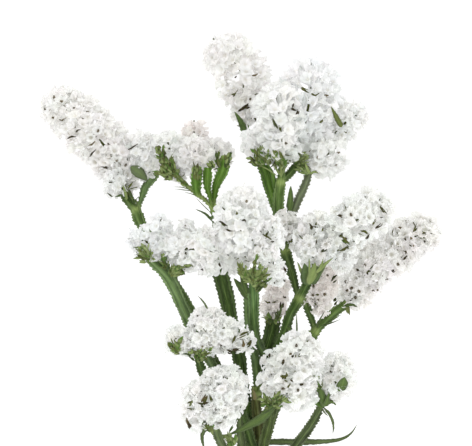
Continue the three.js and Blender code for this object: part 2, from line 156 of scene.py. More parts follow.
# A spike: tone of its cups, then the route of its axis and of any side lobe, with the outer radius.
SPIKES = {
    "far_left_long": ("blush", [[(129, 193, 16, 6), (121, 172, 15, 11.5), (106, 147.8, 14.5, 15.5),
        (87.5, 128.3, 14.5, 16.2), (66.5, 110.6, 14, 14.7), (41.3, 102.8, 12, 12.2)]]),
    "far_left_inner": ("white", [[(147, 181, 20, 6), (146, 163, 20, 10.5), (143, 147, 19, 10.5),
        (139, 131.5, 17, 9.3)]]),
    "far_left_lower": ("white", [[(128, 190, 24, 5), (117, 185, 25, 8.5), (102, 181, 23, 8)]]),
    "upper_left_outer": ("white", [[(181, 180, 31, 5), (175, 164, 30, 9), (169, 148, 28, 9.5),
        (166, 131.5, 25, 9)]]),
    "upper_left_middle": ("blush", [[(196, 175, 34, 6), (194.5, 158, 34, 10.5), (196, 136, 31, 10)]]),
    "upper_left_ball": ("pink", [[(196, 146, 18, 5), (194.5, 134, 16, 7.8), (194, 119.5, 15, 7.5)]]),
    "upper_left_inner": ("blush", [[(223, 169, 22, 6), (218, 156, 20, 9.2), (212.5, 139, 17, 9.3)]]),
    "top": ("blush", [[(246, 125, 13, 5), (245.5, 111, 13, 9.5), (244, 93, 14.5, 14.5),
        (242.3, 74, 15.5, 15.9), (229.8, 58.5, 15.5, 15), (213, 38.5, 14, 14.4)]]),
    "top_right_left": ("white", [[(277, 162, 42, 6), (263, 147, 40, 10.5), (241.5, 139.5, 36, 9.6)]]),
    "top_right_middle": ("white", [[(281, 163, 44, 8), (281, 140, 47, 13.5), (278, 112, 46, 14),
        (273, 85, 41, 12.5)]]),
    "top_right_crown": ("cool", [[(298, 159, 32, 7), (304, 128, 31, 15), (309.5, 98, 30, 17.8),
        (311.5, 60, 25, 17.1)]]),
    "top_right_outer": ("white", [[(306, 168, 31, 7), (318, 160, 31, 13), (331, 152, 30, 13),
        (345, 144, 28, 11.1)]]),
    "top_right_far": ("white", [[(331, 140, 22, 7), (342, 127, 21, 10), (351.5, 117.5, 19, 9.8),
        (367, 113, 15, 8.8)], [(331, 128, 24, 6), (336, 110, 25, 7.5), (340.5, 97, 22, 6)]]),
    "mid_left_outer": ("cool", [[(166, 258, 62, 6), (153, 245, 66, 9.5), (143, 241, 66, 8.6),
        (127.5, 238.5, 63, 8)], [(160, 240, 66, 5), (160, 229, 66, 6.8), (160.5, 214.5, 64, 6.8)]]),
    "mid_left_long": ("white", [[(170, 262, 62, 4), (179, 249, 67, 11.5), (196, 249, 71, 13),
        (214, 251, 72, 14.3), (233, 257, 71, 11), (246, 270, 69, 9)], [(186, 240, 68, 5),
        (186, 228, 68, 5.8), (188.5, 219.5, 66, 5.3)]]),
    "centre_top": ("white", [[(244, 256, 84, 9), (241, 228, 86, 15.5), (241.5, 209, 83, 14.6),
        (237.8, 188.3, 78, 13.2)]]),
    "centre_right": ("white", [[(254, 263, 86, 7), (259.5, 250, 88, 9.6), (265, 238, 86, 10.8),
        (273, 219, 80, 9.6)]]),
    "centre_low": ("white", [[(261, 258, 82, 6), (267.5, 262, 82, 7.6), (274.5, 272, 79, 6.9),
        (279, 284.5, 76, 5)]]),
    "middle": ("grey", [[(290, 241, 46, 4.5), (288, 228.5, 48, 8), (282, 212, 47, 7)]]),
    "right_upright": ("white", [[(313, 264, 50, 7), (313, 245, 53, 13), (316, 232.5, 52, 12.6),
        (319, 211.5, 49, 10.7)]]),
    "right_long": ("white", [[(322, 262, 50, 7), (337, 241, 49, 12.5), (354, 222, 47, 14),
        (372, 210, 43, 13.2), (390, 201.5, 38, 11.7)], [(345, 240, 47, 8), (343, 253, 41, 8.5),
        (341, 270, 34, 6.5)]]),
    "far_right_long": ("blush", [[(345, 306, 13, 6), (356, 289, 13, 10.5), (372, 268, 13.5, 14),
        (395, 250, 13, 13.8), (417, 235.5, 12, 13.4), (440.5, 233.8, 10, 10.7)]]),
    "far_right_inner": ("pink", [[(309, 304, 20, 5), (315, 296, 22, 9), (321, 280, 22, 10.5),
        (329, 262, 20, 9)], [(320, 288, 22, 6), (321, 300, 22, 7), (321, 315.5, 20, 6)]]),
    "inner": ("pink", [[(273, 321, 45, 5), (273.5, 308, 45, 7.3), (277, 293, 45, 7.3),
        (282, 276, 43, 6.5)]]),
    "low_left_small": ("white", [[(197, 350, 73, 5), (184, 342, 75, 8.3), (164.5, 336, 72, 8)]]),
    "low_left_upright": ("white", [[(203, 355, 74, 7), (206, 335, 78, 11.5), (207, 323, 77, 11),
        (206, 306.5, 74, 9.6)]]),
    "low_left_inner": ("white", [[(216, 349, 76, 7), (228, 336, 78, 11.2), (240, 340, 77, 8.5),
        (252.8, 343.5, 73, 6.4)]]),
    "low_outer": ("white", [[(212, 426, 77, 6), (204, 411, 80, 12), (199.5, 401, 79, 12.7),
        (187, 387, 75, 10)], [(203, 412, 78, 5), (198, 420, 77, 6), (194, 431, 74, 5)]]),
    "low_upright": ("white", [[(217, 425, 77, 5), (221, 410, 82, 10.5), (224.5, 393, 81, 14),
        (222, 365.5, 76, 13)]]),
    "low_right_inner": ("white", [[(279, 398, 77, 5), (275, 384, 78, 9.2), (274.5, 371, 77, 8.4),
        (273, 352, 73, 6.8)]]),
    "low_right_upright": ("white", [[(284, 404, 77, 7), (291.5, 388, 82, 13.2), (297, 366, 82, 14.1),
        (305, 333, 76, 12.2)], [(294, 388, 80, 6), (299.5, 396, 78, 9), (301, 408, 74, 7.4)]]),
    "low_right_outer": ("white", [[(323, 402, 66, 5), (328, 389, 68, 9), (338.2, 378, 68, 11.3),
        (328.3, 354.5, 64, 9.6)]]),
}

# Bracts and small leaves that stand out, by the piece that they grow on: half width, tint, how brown
# the tip is, route.
BLADES = [
    ("branch_far_left_fork", [(3.5, "sage", 0, [(149, 182, 24), (141, 174.5, 26), (130.5, 166.5, 26)])]),
    ("branch_far_left", [(0.4, "dark", 0, [(135, 206, 27), (135.5, 201, 28), (139, 195.5, 29)]),
        (1, "pale", 0.2, [(127, 200, 27), (125.5, 193, 28), (123, 185, 29)]),
        (0.9, "dark", 0.2, [(126, 197, 25), (121, 195.5, 26), (115, 197, 26)]),
        (0.5, "bark", 0, [(113, 197, 25), (110, 195, 26), (107, 192.5, 26)]),
        (1.1, "dark", 0, [(135, 205, 24), (131.5, 196, 26), (127, 188, 26)])]),
    ("branch_upper_left", [(1.8, "olive", 0.9, [(164, 163, 36), (160.5, 154, 40), (157, 145.5, 41)]),
        (1.5, "olive", 0.9, [(165, 164, 36), (163.5, 155, 40), (162.5, 145.5, 42)]),
        (4.2, "olive", 0.8, [(172, 178, 36), (168, 168, 39), (164.5, 157, 41)]),
        (3.2, "olive", 0.4, [(176, 177, 35), (172, 168, 38), (171, 158.5, 40)]),
        (2.8, "pale", 0.2, [(173, 178, 35), (166, 175, 37), (159.5, 169, 37)]),
        (1.6, "pale", 0.4, [(186, 185.5, 36), (180.5, 179, 38), (176, 171.5, 40)]),
        (0.25, "dark", 0, [(191, 190, 36), (182, 187.3, 37), (172, 186.8, 38)]),
        (0.25, "dark", 0, [(193, 191, 36), (184, 190, 37), (173, 188.8, 38)]),
        (0.25, "dark", 0, [(198, 196.5, 36), (190, 193.5, 37), (183, 192, 38)]),
        (0.3, "grey", 0, [(210, 212, 36), (203, 205, 36), (196, 198, 36)])]),
    ("branch_upper_left_inner", [(1.6, "dark", 0.5, [(220, 168, 38), (217.5, 161, 40), (217, 154, 41)]),
        (1.4, "dark", 0.5, [(214, 168, 40), (212, 165, 41), (209, 163, 42)]),
        (1.6, "dark", 0.5, [(226, 168, 36), (228, 161, 36), (228.8, 153.5, 36)])]),
    ("branch_upper_left_middle", [
        (2.4, "olive", 1, [(196, 180, 45), (196, 173, 46), (196.5, 165.5, 47)])]),
    ("branch_top", [(2.2, "cream", 0.2, [(264, 165, 44), (259, 157, 49), (254, 148, 52)]),
        (2.2, "cream", 0.2, [(265, 163, 45), (262.5, 153, 51), (260, 145, 53)]),
        (2, "cream", 0.2, [(268, 165, 44), (268, 157, 50), (268, 150, 53)]),
        (1.8, "olive", 0.6, [(262, 167, 42), (255, 161, 46), (249.5, 156, 49)]),
        (2, "mid", 0, [(245, 131, 18), (240.5, 121.5, 25), (234.5, 111.5, 29)])]),
    ("branch_top_right", [(1.7, "cream", 0.2, [(281, 168, 46), (277, 160, 53), (272.5, 150, 57)]),
        (1.7, "cream", 0.2, [(282, 167, 46), (282, 159, 54), (280.5, 152, 58)]),
        (0.8, "pale", 0.3, [(281, 176, 43), (277, 170, 46), (273, 164, 47)]),
        (0.8, "pale", 0.3, [(281, 176, 43), (284, 169, 46), (288, 165, 48)]),
        (1, "pale", 0.3, [(281, 177, 43), (281, 169, 46), (281.5, 161, 48)]),
        (0.5, "pale", 0, [(277, 176, 43), (268, 169.5, 44), (257, 164.5, 44)])]),
    ("branch_top_right_outer", [(1, "pale", 0.2, [(309, 174, 35), (306, 166, 39), (304, 160, 42)]),
        (0.8, "pale", 0.5, [(310, 174, 35), (314, 172, 38), (319, 173.5, 38)]),
        (1.8, "cream", 0.2, [(309.5, 174, 35), (301, 168, 38), (294.5, 163, 39)])]),
    ("branch_top_right_inner", [(2.2, "cream", 0.2, [(297, 165, 36), (299, 158, 42), (302, 151, 46)]),
        (2, "cream", 0.2, [(296, 166, 36), (303, 160, 42), (310, 158, 44)])]),
    ("branch_right", [(4.2, "light", 0.1, [(309, 285, 53), (306.5, 272, 59), (304.5, 263, 62)]),
        (3.6, "pale", 0.1, [(310, 284, 54), (313, 271, 61), (315, 262, 64)]),
        (3.6, "light", 0, [(310, 283, 53), (319, 271.5, 60), (327, 263, 62)]),
        (1.3, "pale", 0.2, [(316, 273, 61), (325, 264, 64), (334, 257, 63)]),
        (1.2, "pale", 0.2, [(306, 280, 55), (301, 271, 58), (297.5, 262, 60)])]),
    ("branch_top", [(1.6, "fresh", 0, [(275, 190, 36), (273, 177, 41), (268.5, 164, 45)])]),
    ("branch_right", [(0.8, "pale", 0.3, [(309, 274, 60), (309.5, 266, 65), (309, 257.5, 67)]),
        (0.9, "pale", 0.2, [(318, 271, 61), (322, 264, 65), (323.5, 257, 67)]),
        (0.4, "dark", 0, [(306, 282, 53), (301, 273, 55), (299, 264, 56)]),
        (2, "dark", 0, [(286, 326, 49), (290, 330.5, 49), (295.5, 336, 48)]),
        (0.5, "grey", 0, [(297, 334, 51), (296.8, 324, 51), (296.4, 313, 51)]),
        (0.7, "pale", 0.3, [(309, 283, 53), (304, 279, 55), (300, 276, 55)])]),
    ("branch_centre", [(2.4, "pale", 0.2, [(251, 283, 88), (245, 274, 93), (239, 263, 94)]),
        (1.5, "olive", 0.4, [(252, 281, 88), (254.5, 267, 96), (257, 254, 98)]),
        (2.6, "pale", 0.2, [(252, 285, 87), (257.5, 275, 94), (263, 266, 94)]),
        (2.4, "olive", 0.5, [(255, 285, 86), (261, 278, 90), (268.5, 273.5, 89)]),
        (1.9, "dark", 0.1, [(247, 293, 82), (243, 281, 84), (241, 270, 84)]),
        (2.2, "dark", 0.2, [(256, 291, 84), (261, 286, 86), (266.5, 279, 86)]),
        (1, "pale", 0, [(252, 284, 88), (248, 279, 91), (243, 276, 91)]),
        (1, "pale", 0, [(252, 284, 88), (256, 280, 90), (259, 276, 91)])]),
    ("branch_low_left_upper", [(1.6, "olive", 0.3, [(199, 356, 72), (196, 353, 76), (191, 351, 78)]),
        (2, "olive", 0.3, [(199, 357, 73), (206, 353, 80), (213, 349.5, 84)]),
        (2.2, "fresh", 0.2, [(198, 361, 73), (199.5, 355, 80), (202, 349, 83)]),
        (0.9, "dark", 0, [(194, 361, 73), (188, 354, 76), (181, 354, 77)]),
        (2.2, "olive", 0.2, [(181, 353, 77), (176, 349.5, 80), (170, 343, 81)]),
        (1.6, "pale", 0.2, [(180, 352, 78), (177, 346, 82), (179, 339, 83)])]),
    ("branch_mid_left", [(2, "cream", 0.2, [(152, 261, 67), (145, 253, 71), (139, 247, 71)]),
        (2, "cream", 0.3, [(152, 261, 67), (147.5, 251, 72), (145, 244.5, 72)]),
        (1.8, "olive", 0.5, [(151, 262, 67), (142, 257.5, 69), (136, 254, 69)]),
        (0.4, "dark", 0.5, [(141, 250, 71), (137, 247.5, 71), (132.5, 248, 70)]),
        (1.8, "mid", 0.2, [(167, 269, 65), (164, 261, 69), (161, 254, 72)]),
        (2.8, "pale", 0.4, [(170, 275, 64), (178, 268.5, 69), (188, 262, 70)]),
        (2, "mid", 0.3, [(171, 275, 64), (180, 271, 67), (186, 268, 68)])]),
    ("branch_low_right", [(2.4, "pale", 0.3, [(273, 406, 80), (267, 400, 84), (262.5, 396, 85)]),
        (2.2, "cream", 0.3, [(274, 405, 80), (277, 397, 87), (280, 391, 89)]),
        (2.4, "pale", 0.3, [(274, 406, 80), (281, 400.5, 85), (286.5, 398, 86)]),
        (1.6, "mid", 0.2, [(272, 408, 80), (266, 404, 82), (260, 402, 83)])]),
    ("branch_low_right_outer", [
        (1.7, "fresh", 0.1, [(323, 407, 68), (314, 401, 73), (305.5, 396.5, 74)]),
        (2.6, "mid", 0.1, [(325, 406, 68), (321.5, 394, 76), (318.5, 382, 79)]),
        (2, "mid", 0.1, [(325, 406, 68), (327.5, 398, 74), (329, 391.5, 76)]),
        (1, "mid", 0.2, [(325, 405, 68), (331, 401.5, 69), (336.5, 405.5, 68)])]),
    ("spike_low_right_outer", [(3.2, "mid", 0, [(336.5, 391.5, 74), (342, 385, 81), (344.5, 377, 82)])]),
    ("spike_top_right_crown", [(1.8, "olive", 0, [(342, 127, 36), (336.5, 117, 40), (331, 106.5, 40)])]),
    ("branch_low_right_outer", [(0.5, "grey", 0.2, [(322, 409, 66), (325, 413, 66), (328, 416, 65)])]),
    ("branch_low_left", [(2.4, "olive", 0.3, [(213, 430, 78), (208.5, 426, 81), (204, 421, 81)])]),
    ("leaf_low_cross", [(3.4, "pale", 0.2, [(234, 446, 62), (231, 440.5, 64), (226, 435, 65)]),
        (1.5, "dark", 0, [(262, 413, 77), (273, 406, 83), (284, 397.5, 87)]),
        (0.7, "dark", 0.2, [(229, 432, 70), (233.5, 425, 74), (240, 414, 77)])]),
    ("branch_inner", [(1.5, "dark", 0.5, [(273, 323, 50), (269, 319, 52), (267, 315, 52)]),
        (1, "dark", 0.2, [(276, 320, 50), (280, 312, 54), (282.5, 303, 55)]),
        (1.4, "grey", 0.5, [(275, 324, 50), (277, 319, 53), (280, 314, 54)])]),
    ("branch_far_right", [(0.5, "grey", 0.3, [(317, 328, 18), (320, 319, 21), (324.5, 311, 22)]),
        (0.4, "dark", 0, [(321, 326, 17), (331, 321, 17), (341.5, 314.5, 16)]),
        (0.35, "dark", 0, [(323, 326, 16), (334, 322, 15), (341, 319, 14)]),
        (1, "dark", 0.3, [(344, 306, 16), (352, 304.5, 18), (357.5, 307, 17)])]),
    ("main_stem", [(1.3, "tan", 0, [(255, 400, 44), (254, 394, 48), (252.5, 388, 49)])]),
    ("branch_low_right_outer", [
        (1.4, "mid", 0.2, [(319.5, 392, 76), (318.5, 384, 79), (317.5, 375, 80)])]),
    ("spike_low_left_upright", [
        (0.7, "grey", 0.2, [(207.5, 309, 80), (203.5, 302, 82), (197.5, 295.5, 82)])]),
]

# Bracts between the cups on a spike's upper side, drawn dark so that they also paint the shade in the gaps
# between cups: half width, tint, and a line over the surface.
MARKS = {
    "low_outer": [(1.5, "olive", [(202, 403), (205, 400), (207.5, 396.5)]),
        (0.9, "bark", [(203.5, 404), (207, 402)]), (1, "olive", [(187, 405), (189.5, 402.5), (192, 401)]),
        (1.5, "tan", [(202, 404), (205, 400), (208, 395)]), (1.5, "olive", [(203, 398), (206, 402)]),
        (1.4, "pale", [(188, 406), (191, 402.5), (190, 399)]),
        (1.4, "tan", [(190, 427), (187, 421), (184, 414)]), (0.9, "bark", [(191, 429), (189, 423)])],
    "far_right_inner": [(1.7, "dark", [(331, 283.5), (334, 279.5), (337.5, 275.5)]),
        (1.5, "dark", [(332.5, 305.5), (335, 301), (337.5, 298)])],
    "right_long": [(1.2, "fresh", [(340, 238.5), (344.5, 241), (349.5, 243.5)]),
        (1, "olive", [(341, 249.5), (345, 248.5), (348.5, 246)]),
        (1.2, "olive", [(378, 203), (381, 209), (386, 215)]),
        (0.9, "olive", [(371, 226), (374, 222), (377, 220)]),
        (0.9, "bark", [(375, 229), (380, 226), (384, 221.5)]),
        (0.9, "olive", [(357, 230), (364, 231), (368, 234)]),
        (0.9, "bark", [(369, 234), (367, 238), (363, 240.5)]),
        (1.2, "olive", [(340, 235.5), (345, 241), (350, 244)]),
        (0.9, "olive", [(350, 245), (345, 249.5), (338, 251)]),
        (0.8, "bark", [(337, 214.5), (341, 216), (344, 219)])],
    "right_upright": [(0.9, "olive", [(309.5, 224.5), (311, 227.5), (313, 229.5)]),
        (1.2, "grey", [(320, 252), (326, 250), (331, 246)]),
        (0.9, "bark", [(309.5, 224), (312, 227), (315, 229)]),
        (0.8, "bark", [(331, 230.5), (336, 229.5)]), (0.6, "bark", [(315.5, 245), (317, 239)])],
    "centre_top": [(0.8, "mid", [(220, 221.5), (223, 224.5), (226, 226)]),
        (0.8, "bark", [(219, 221.5), (224, 223.5), (228, 226)]),
        (0.7, "bark", [(224, 228.5), (230, 231.5), (236, 231)]),
        (0.6, "bark", [(241, 221), (245, 219), (246, 224)])],
    "top_right_middle": [(0.9, "mid", [(272.5, 120), (274, 124), (275, 127.5)]),
        (1.1, "bark", [(291, 108.5), (296, 110), (300, 109)]), (0.9, "bark", [(292, 107), (294, 103.5)]),
        (0.9, "bark", [(299, 110), (297, 115)]), (1.4, "grey", [(278, 130), (275, 124), (271.5, 117.5)])],
    "far_right_long": [(0.9, "bark", [(403.5, 237), (405.5, 239.5), (407, 239)]),
        (1, "bark", [(403, 250.5), (405.5, 251), (407, 254.5)]),
        (0.9, "bark", [(355, 268.5), (357.5, 270.5), (359.5, 270)]),
        (0.8, "bark", [(354.5, 262), (357, 264)]), (1, "bark", [(390.5, 269), (393, 271), (395, 269.5)]),
        (0.8, "bark", [(372, 289), (374.5, 291)]), (0.8, "bark", [(366, 272.5), (368.5, 274.5)]),
        (0.8, "olive", [(391, 242), (393.5, 244)]), (0.8, "bark", [(424, 240), (426, 242.5)]),
        (1.1, "olive", [(413, 233), (415.5, 228), (419, 225)]),
        (0.6, "olive", [(412.5, 222), (415, 227)]),
        (0.9, "bark", [(402, 260), (406, 257.5), (409.5, 254)]), (0.7, "bark", [(349, 301), (353, 299)])],
    "low_left_inner": [(1.2, "olive", [(246, 347), (250, 344), (252.5, 340)]),
        (1, "bark", [(225, 351), (231, 352.5), (237, 352)]), (0.8, "bark", [(220, 344), (223, 348)]),
        (0.9, "olive", [(231, 345), (234, 340), (237, 335)]),
        (1.1, "olive", [(238, 337), (244, 334), (250, 332)]),
        (1, "bark", [(230, 351), (236, 349.5), (242, 349)]),
        (1, "tan", [(242, 348), (244, 344), (243, 340)])],
    "inner": [(1.2, "bark", [(281, 309), (282, 304), (282.5, 301)]),
        (0.8, "bark", [(272, 303), (268, 302)]), (1, "bark", [(284, 299), (285, 295)])],
    "far_left_long": [(0.7, "bark", [(66, 139.5), (71, 137), (78, 137)]),
        (0.6, "bark", [(88, 158), (92, 153), (98, 147)]),
        (0.8, "bark", [(99, 167.5), (105, 167.5), (110, 170)]),
        (0.7, "bark", [(76, 133), (78, 130), (81, 130.5)]),
        (0.8, "tan", [(58, 119), (62, 120), (66, 117)]), (0.7, "tan", [(88, 146), (92, 145), (96, 141)]),
        (0.5, "bark", [(82, 118), (84, 119)])],
    "far_left_inner": [(0.8, "bark", [(124, 150.5), (132, 147.5), (138, 143)]),
        (1, "olive", [(123, 152), (127, 158), (128, 165)])],
    "top": [(1, "olive", [(228, 96), (234, 94.5), (238, 89.5)]),
        (1, "olive", [(252, 95), (260, 94.5), (269, 92)]),
        (1.6, "bark", [(237, 112), (243, 109), (248, 105)]), (0.9, "bark", [(246, 108), (251, 107)]),
        (0.7, "bark", [(234, 79), (237, 75)]), (0.8, "tan", [(249, 75), (254, 76), (258, 74)])],
    "top_right_crown": [(0.9, "olive", [(298, 86.5), (304, 89.5), (310, 93)]),
        (0.9, "olive", [(310, 93.5), (315, 96.5), (319, 93)]), (0.6, "tan", [(323, 96), (330, 95.5)])],
    "top_right_left": [(0.6, "bark", [(259, 128.5), (264, 129), (270, 127.5)])],
    "top_right_outer": [(1.4, "grey", [(296, 150), (300, 146), (303, 142)]),
        (0.8, "bark", [(315, 140), (318, 142)])],
    "centre_right": [(1, "olive", [(250, 243), (253, 236), (259, 233.5)]),
        (1, "olive", [(262, 234), (268, 237), (272, 241)]), (0.6, "bark", [(271, 242), (275, 241)])],
    "mid_left_long": [(0.7, "bark", [(225, 247), (227, 253), (229, 257)]),
        (0.7, "bark", [(219, 262), (221, 267)]), (0.6, "bark", [(184, 252), (188, 255)])],
    "centre_low": [(1, "bark", [(284, 267), (285.5, 270), (285, 273)]),
        (0.9, "bark", [(284, 279), (284, 282.5)]), (0.7, "bark", [(273, 284), (275, 282)])],
    "low_upright": [(0.5, "bark", [(215, 411), (217, 408)])],
    "low_right_upright": [(1, "olive", [(280, 374), (284, 376), (287, 374)]),
        (1, "bark", [(285, 358.5), (284, 362), (282.5, 366)]),
        (0.8, "bark", [(293, 353.5), (292.5, 359)]),
        (1, "olive", [(285.5, 371), (286.5, 375), (284, 379)]),
        (1, "olive", [(278, 376), (282, 377.5), (286, 379)]), (0.9, "bark", [(289, 379), (293, 382)]),
        (0.8, "olive", [(288, 388), (290, 383)]), (1.1, "bark", [(298, 384.5), (301.5, 384), (305, 382)]),
        (0.6, "olive", [(294, 358), (297, 355)])],
    "low_right_outer": [(1, "bark", [(330, 372), (334, 371.5)]),
        (0.9, "mid", [(320, 388), (318, 382), (316, 375.5)])],
    "low_right_inner": [(0.8, "bark", [(269.5, 353), (269.5, 359)]),
        (1, "bark", [(273, 376.5), (275, 377.5)])],
}

# How large the cups of some spikes are beside the rest, and the shares of their cups that are withered.
CUP_SIZES = {
    "top_right_crown": 1.3, "top_right_middle": 1.25, "top_right_left": 1.2, "top": 1.15,
    "far_left_long": 1.08, "top_right_outer": 1.1, "centre_top": 1.1, "low_left_upright": 0.95,
    "upper_left_middle": 1.05, "low_right_upright": 1.22, "far_right_long": 1.18, "right_long": 1.12,
    "right_upright": 1.12,
}
WITHERED_SHARES = {
    "top_right_outer": 0.4, "far_right_long": 0.4, "far_left_long": 0.2, "inner": 0.2, "right_long": 0.12,
    "right_upright": 0.08, "far_right_inner": 0.35, "mid_left_long": 0.12, "low_right_upright": 0.12,
    "centre_right": 0.12,
}
WITHERED_SHARE = 0.02
# The spikes whose cups have soft folds instead of crisp pleats, by the start of their names.
SOFT_SPIKES = ("top", "upper_left", "mid_left", "far_left", "centre_top")
# The spikes whose cups have the most painted shade down their throats, brown at the eye.
EYED_SPIKES = ("far_right", "right_", "far_left_long", "inner", "low_right_upright", "centre_right")

# Colours, linear.
TONES = {
    "white": (0.960, 0.965, 0.950),
    "cool": (0.955, 0.962, 0.960),
    "blush": (0.955, 0.950, 0.935),
    "pink": (0.950, 0.922, 0.900),
    "grey": (0.890, 0.885, 0.865),
}
GREENS = {
    "light": (0.140, 0.215, 0.085),
    "fresh": (0.115, 0.230, 0.030),
    "mid": (0.098, 0.160, 0.042),
    "deep": (0.062, 0.112, 0.025),
    "dark": (0.044, 0.082, 0.014),
    "grey": (0.095, 0.128, 0.052),
    "silver": (0.190, 0.215, 0.140),
    "sage": (0.135, 0.175, 0.090),
    "jade": (0.110, 0.200, 0.076),
    "brown": (0.080, 0.082, 0.020),
    "moss": (0.056, 0.083, 0.016),
    "olive": (0.150, 0.170, 0.040),
    "pale": (0.340, 0.420, 0.155),
    "cream": (0.460, 0.540, 0.260),
    "bark": (0.060, 0.045, 0.022),
    "tan": (0.300, 0.230, 0.110),
}
GREENS = {name: np.array(colour) for name, colour in GREENS.items()}
WING_EDGE = np.array((0.260, 0.340, 0.160))
MIDRIB = np.array((0.240, 0.330, 0.110))
NODE_PALE = np.array((0.380, 0.480, 0.160))
# How strongly a stem takes these three colours, and a leaf the first two.
WING_EDGE_SHARE = 0.5
MIDRIB_SHARE = 0.45
NODE_SHARE = 0.8
LEAF_EDGE_SHARE = 0.3
LEAF_MIDRIB_SHARE = 0.35

# Colours in the materials: over the petals, the withered flowers, the bracts, and the stems and leaves.
COOL_MOTTLE = (0.90, 0.90, 0.93, 1)
VEIN_GREY = (0.74, 0.74, 0.70, 1)
WARM_THROAT = (0.80, 0.77, 0.64, 1)
# Painted shade down a cup's funnel, brown at its eye.
THROAT_SHADE_BROWN = (0.30, 0.27, 0.19, 1)
WITHERED_BROWN = (0.07, 0.05, 0.03, 1)
BRACT_SPOT = (0.05, 0.05, 0.02, 1)
BRACT_EDGE = (0.34, 0.33, 0.18, 1)
GREEN_MOTTLE = (0.50, 0.60, 0.36, 1)
# The stem's darker stripes, which also paint shade in the grooves of its bump.
GROOVE_STRIPE_AND_SHADE = (0.40, 0.45, 0.35, 1)
GREEN_STREAK = (0.30, 0.42, 0.14, 1)
GREEN_FLECK = (0.34, 0.42, 0.20, 1)
WING_GREY = (0.24, 0.27, 0.17, 1)
# Painted shade in the creases of the wrinkles.
CREASE_PAINTED_SHADE = (0.62, 0.64, 0.60, 1)
WHITE = (1, 1, 1, 1)

# The papery cup (calyx): its lobes, and its tube's sides, length and radii at the base and the throat.
LOBES = 5
TUBE_SIDES = 6
TUBE = 5.0
TUBE_BASE = 0.45
THROAT = 0.75
# How deep in the tube its mouth is closed, and how far the tube's end reaches into the limb.
MOUTH_DEPTH = 0.7
TUBE_OVERLAP = 0.12
# A closed cup's radius at the rim and its rise over the throat, and what an open cup gains and loses.
CLOSED_RIM = 2.6
RIM_GAIN = 1.15
CLOSED_RISE = 3.7
RISE_LOSS = 2.0
# The limb's points around, its rings from the throat to the rim, and the depth of its pleats.
CUP_SEGMENTS = 20
CUP_RINGS = (0.0, 0.4, 0.74, 1.0)
PLEAT = 0.5
SOFT_PLEAT = 0.26
PLAIN_SEGMENTS = 12
PLAIN_RINGS = (0.0, 0.5, 1.0)
# How much the lobes and folds of crisp and of soft cups wave.
CRISP_WAVES = (0.35, 0.6)
SOFT_WAVES = (0.75, 0.95)
# The folds of a limb: waves around it, and their share.
FOLDS = ((3, 0.55), (2, 0.4))
# How far the lobes and folds carry the rim out, as shares of the radius.
RIM_LOBE = 0.15
RIM_FOLD = 0.13
# How much an open cup's rim curls back down.
CURL = 0.5
# How cups differ: uneven spacing in radians, width to length, slant, pleats, and how ragged the rim is.
UNEVEN = 0.04
SQUEEZES = (0.62, 1.0)
TILTS = (-0.35, 0.35)
PLEATS = (0.5, 1.5)
RAGS = (-0.15, 0.13)
RIM_RISES = (-0.6, 0.6)
# The cups that are made, by how open they are, and how many of each.
CRISP_OPENNESS = (0.0, 0.2, 0.35, 0.5, 0.6, 0.7, 0.85, 1.0)
SOFT_OPENNESS = (0.2, 0.4, 0.6, 0.75, 0.9)
PLAIN_OPENNESS = (0.6, 0.8, 1.0)
CRISP_EACH = 2
SOFT_EACH = 3
PLAIN_EACH = 2
# The withered flower in a cup's mouth: its shreds, their reach out and up, and how many kinds are made.
SHREDS = 7
SHRED_REACHES = (0.4, 0.95)
SHRED_RISES = (0.2, 1.3)
WITHERED_KINDS = 5

# The cups of a spike: their reach from the base, how deep they are set, their spacing, how they lean
# to the tip and away from it at random, their sizes, and how their bases are staggered.
CUP_REACH = 7.0
CUP_INSET = 1.0
CUP_SPACING = 4.2
LEAN_TO_TIP = 0.45
LEAN_SPREAD = 0.34
CUP_SCALES = (0.85, 1.15)
CUP_STAGGER = (-1.4, 1.0)
# The lumps of a spike's surface: share of its radius, waves around, and the length of one radian along.
LUMPS = ((0.05, 3, 3.3), (0.04, 2, 2.4))
# The steepest slope that turns the cups at a spike's ends.
STEEPEST = 2.5
# The plainer cups inside a broad spike: their spacing, their share of its radius, and from what radius.
INNER_SPACING = 5.6
INNER_SHARE = 0.70
INNER_FROM = 7.0
# Below this height of its normal a cup counts as facing down, and a share of those is left out.
UNDERSIDE = -0.55
UNDERSIDE_GAPS = 0.5
# How much a cup's colour may vary, and the lightest that it may be.
TINT_FADE = 0.04
TINT_SPREAD = 0.006
LIGHTEST = 0.97
# How much painted shade, brown at the eye, a cup's throat gets at most.
EYED_THROAT_SHADE = 0.8
PLAIN_THROAT_SHADE = 0.5
SOFT_THROAT_SHADE = 0.2
# A spike's axis: its radius at the foot and the tip, its sides, and its stride along the route's points.
AXIS_FOOT = 1.1
AXIS_TIP = 0.45
AXIS_SIDES = 7
AXIS_STRIDE = 4

# The share of cups that have a bract beside them.
BRACT_SHARE = 0.2
SOFT_BRACT_SHARE = 0.035
# The small bracts: how many kinds, their lengths and half widths, and their four cross-sections.
SCALE_KINDS = 10
SCALE_LENGTHS = (4.2, 6.4)
SCALE_WIDTHS = (0.8, 1.3)
SCALE_STEPS = np.array((0.0, 0.35, 0.7, 1.0))
SCALE_OUTLINE = np.array((0.6, 1.0, 0.62, 0.06))
SCALE_THICKNESS = np.array((0.22, 0.24, 0.18, 0.04))
# How far the margins lie back, in half widths, the back face's share of the thickness, the bow of the
# whole bract as a share of its length, and how its tip bends.
SCALE_HOLLOW = 0.35
SCALE_BACK = 0.3
SCALE_BOW = 0.10
SCALE_TIP_BENDS = (0.0, 0.35)
# The leafy bracts at a spike's foot: how many, more for a broad spike, how far along, and their size.
FOOT_BRACTS = 10
FOOT_BRACTS_PER_RADIUS = 0.9
FOOT_BRACT_REACH = 0.25
FOOT_BRACT_SIZE = 1.35
# How they stand: shares of outward and tipward, and their spread. How pale and how brown they may be.
FOOT_BRACT_OUT = 0.8
FOOT_BRACT_UP = 0.7
FOOT_BRACT_SPREAD = 0.15
FOOT_BRACT_PALE = 0.7
FOOT_BRACT_BROWN = 0.6
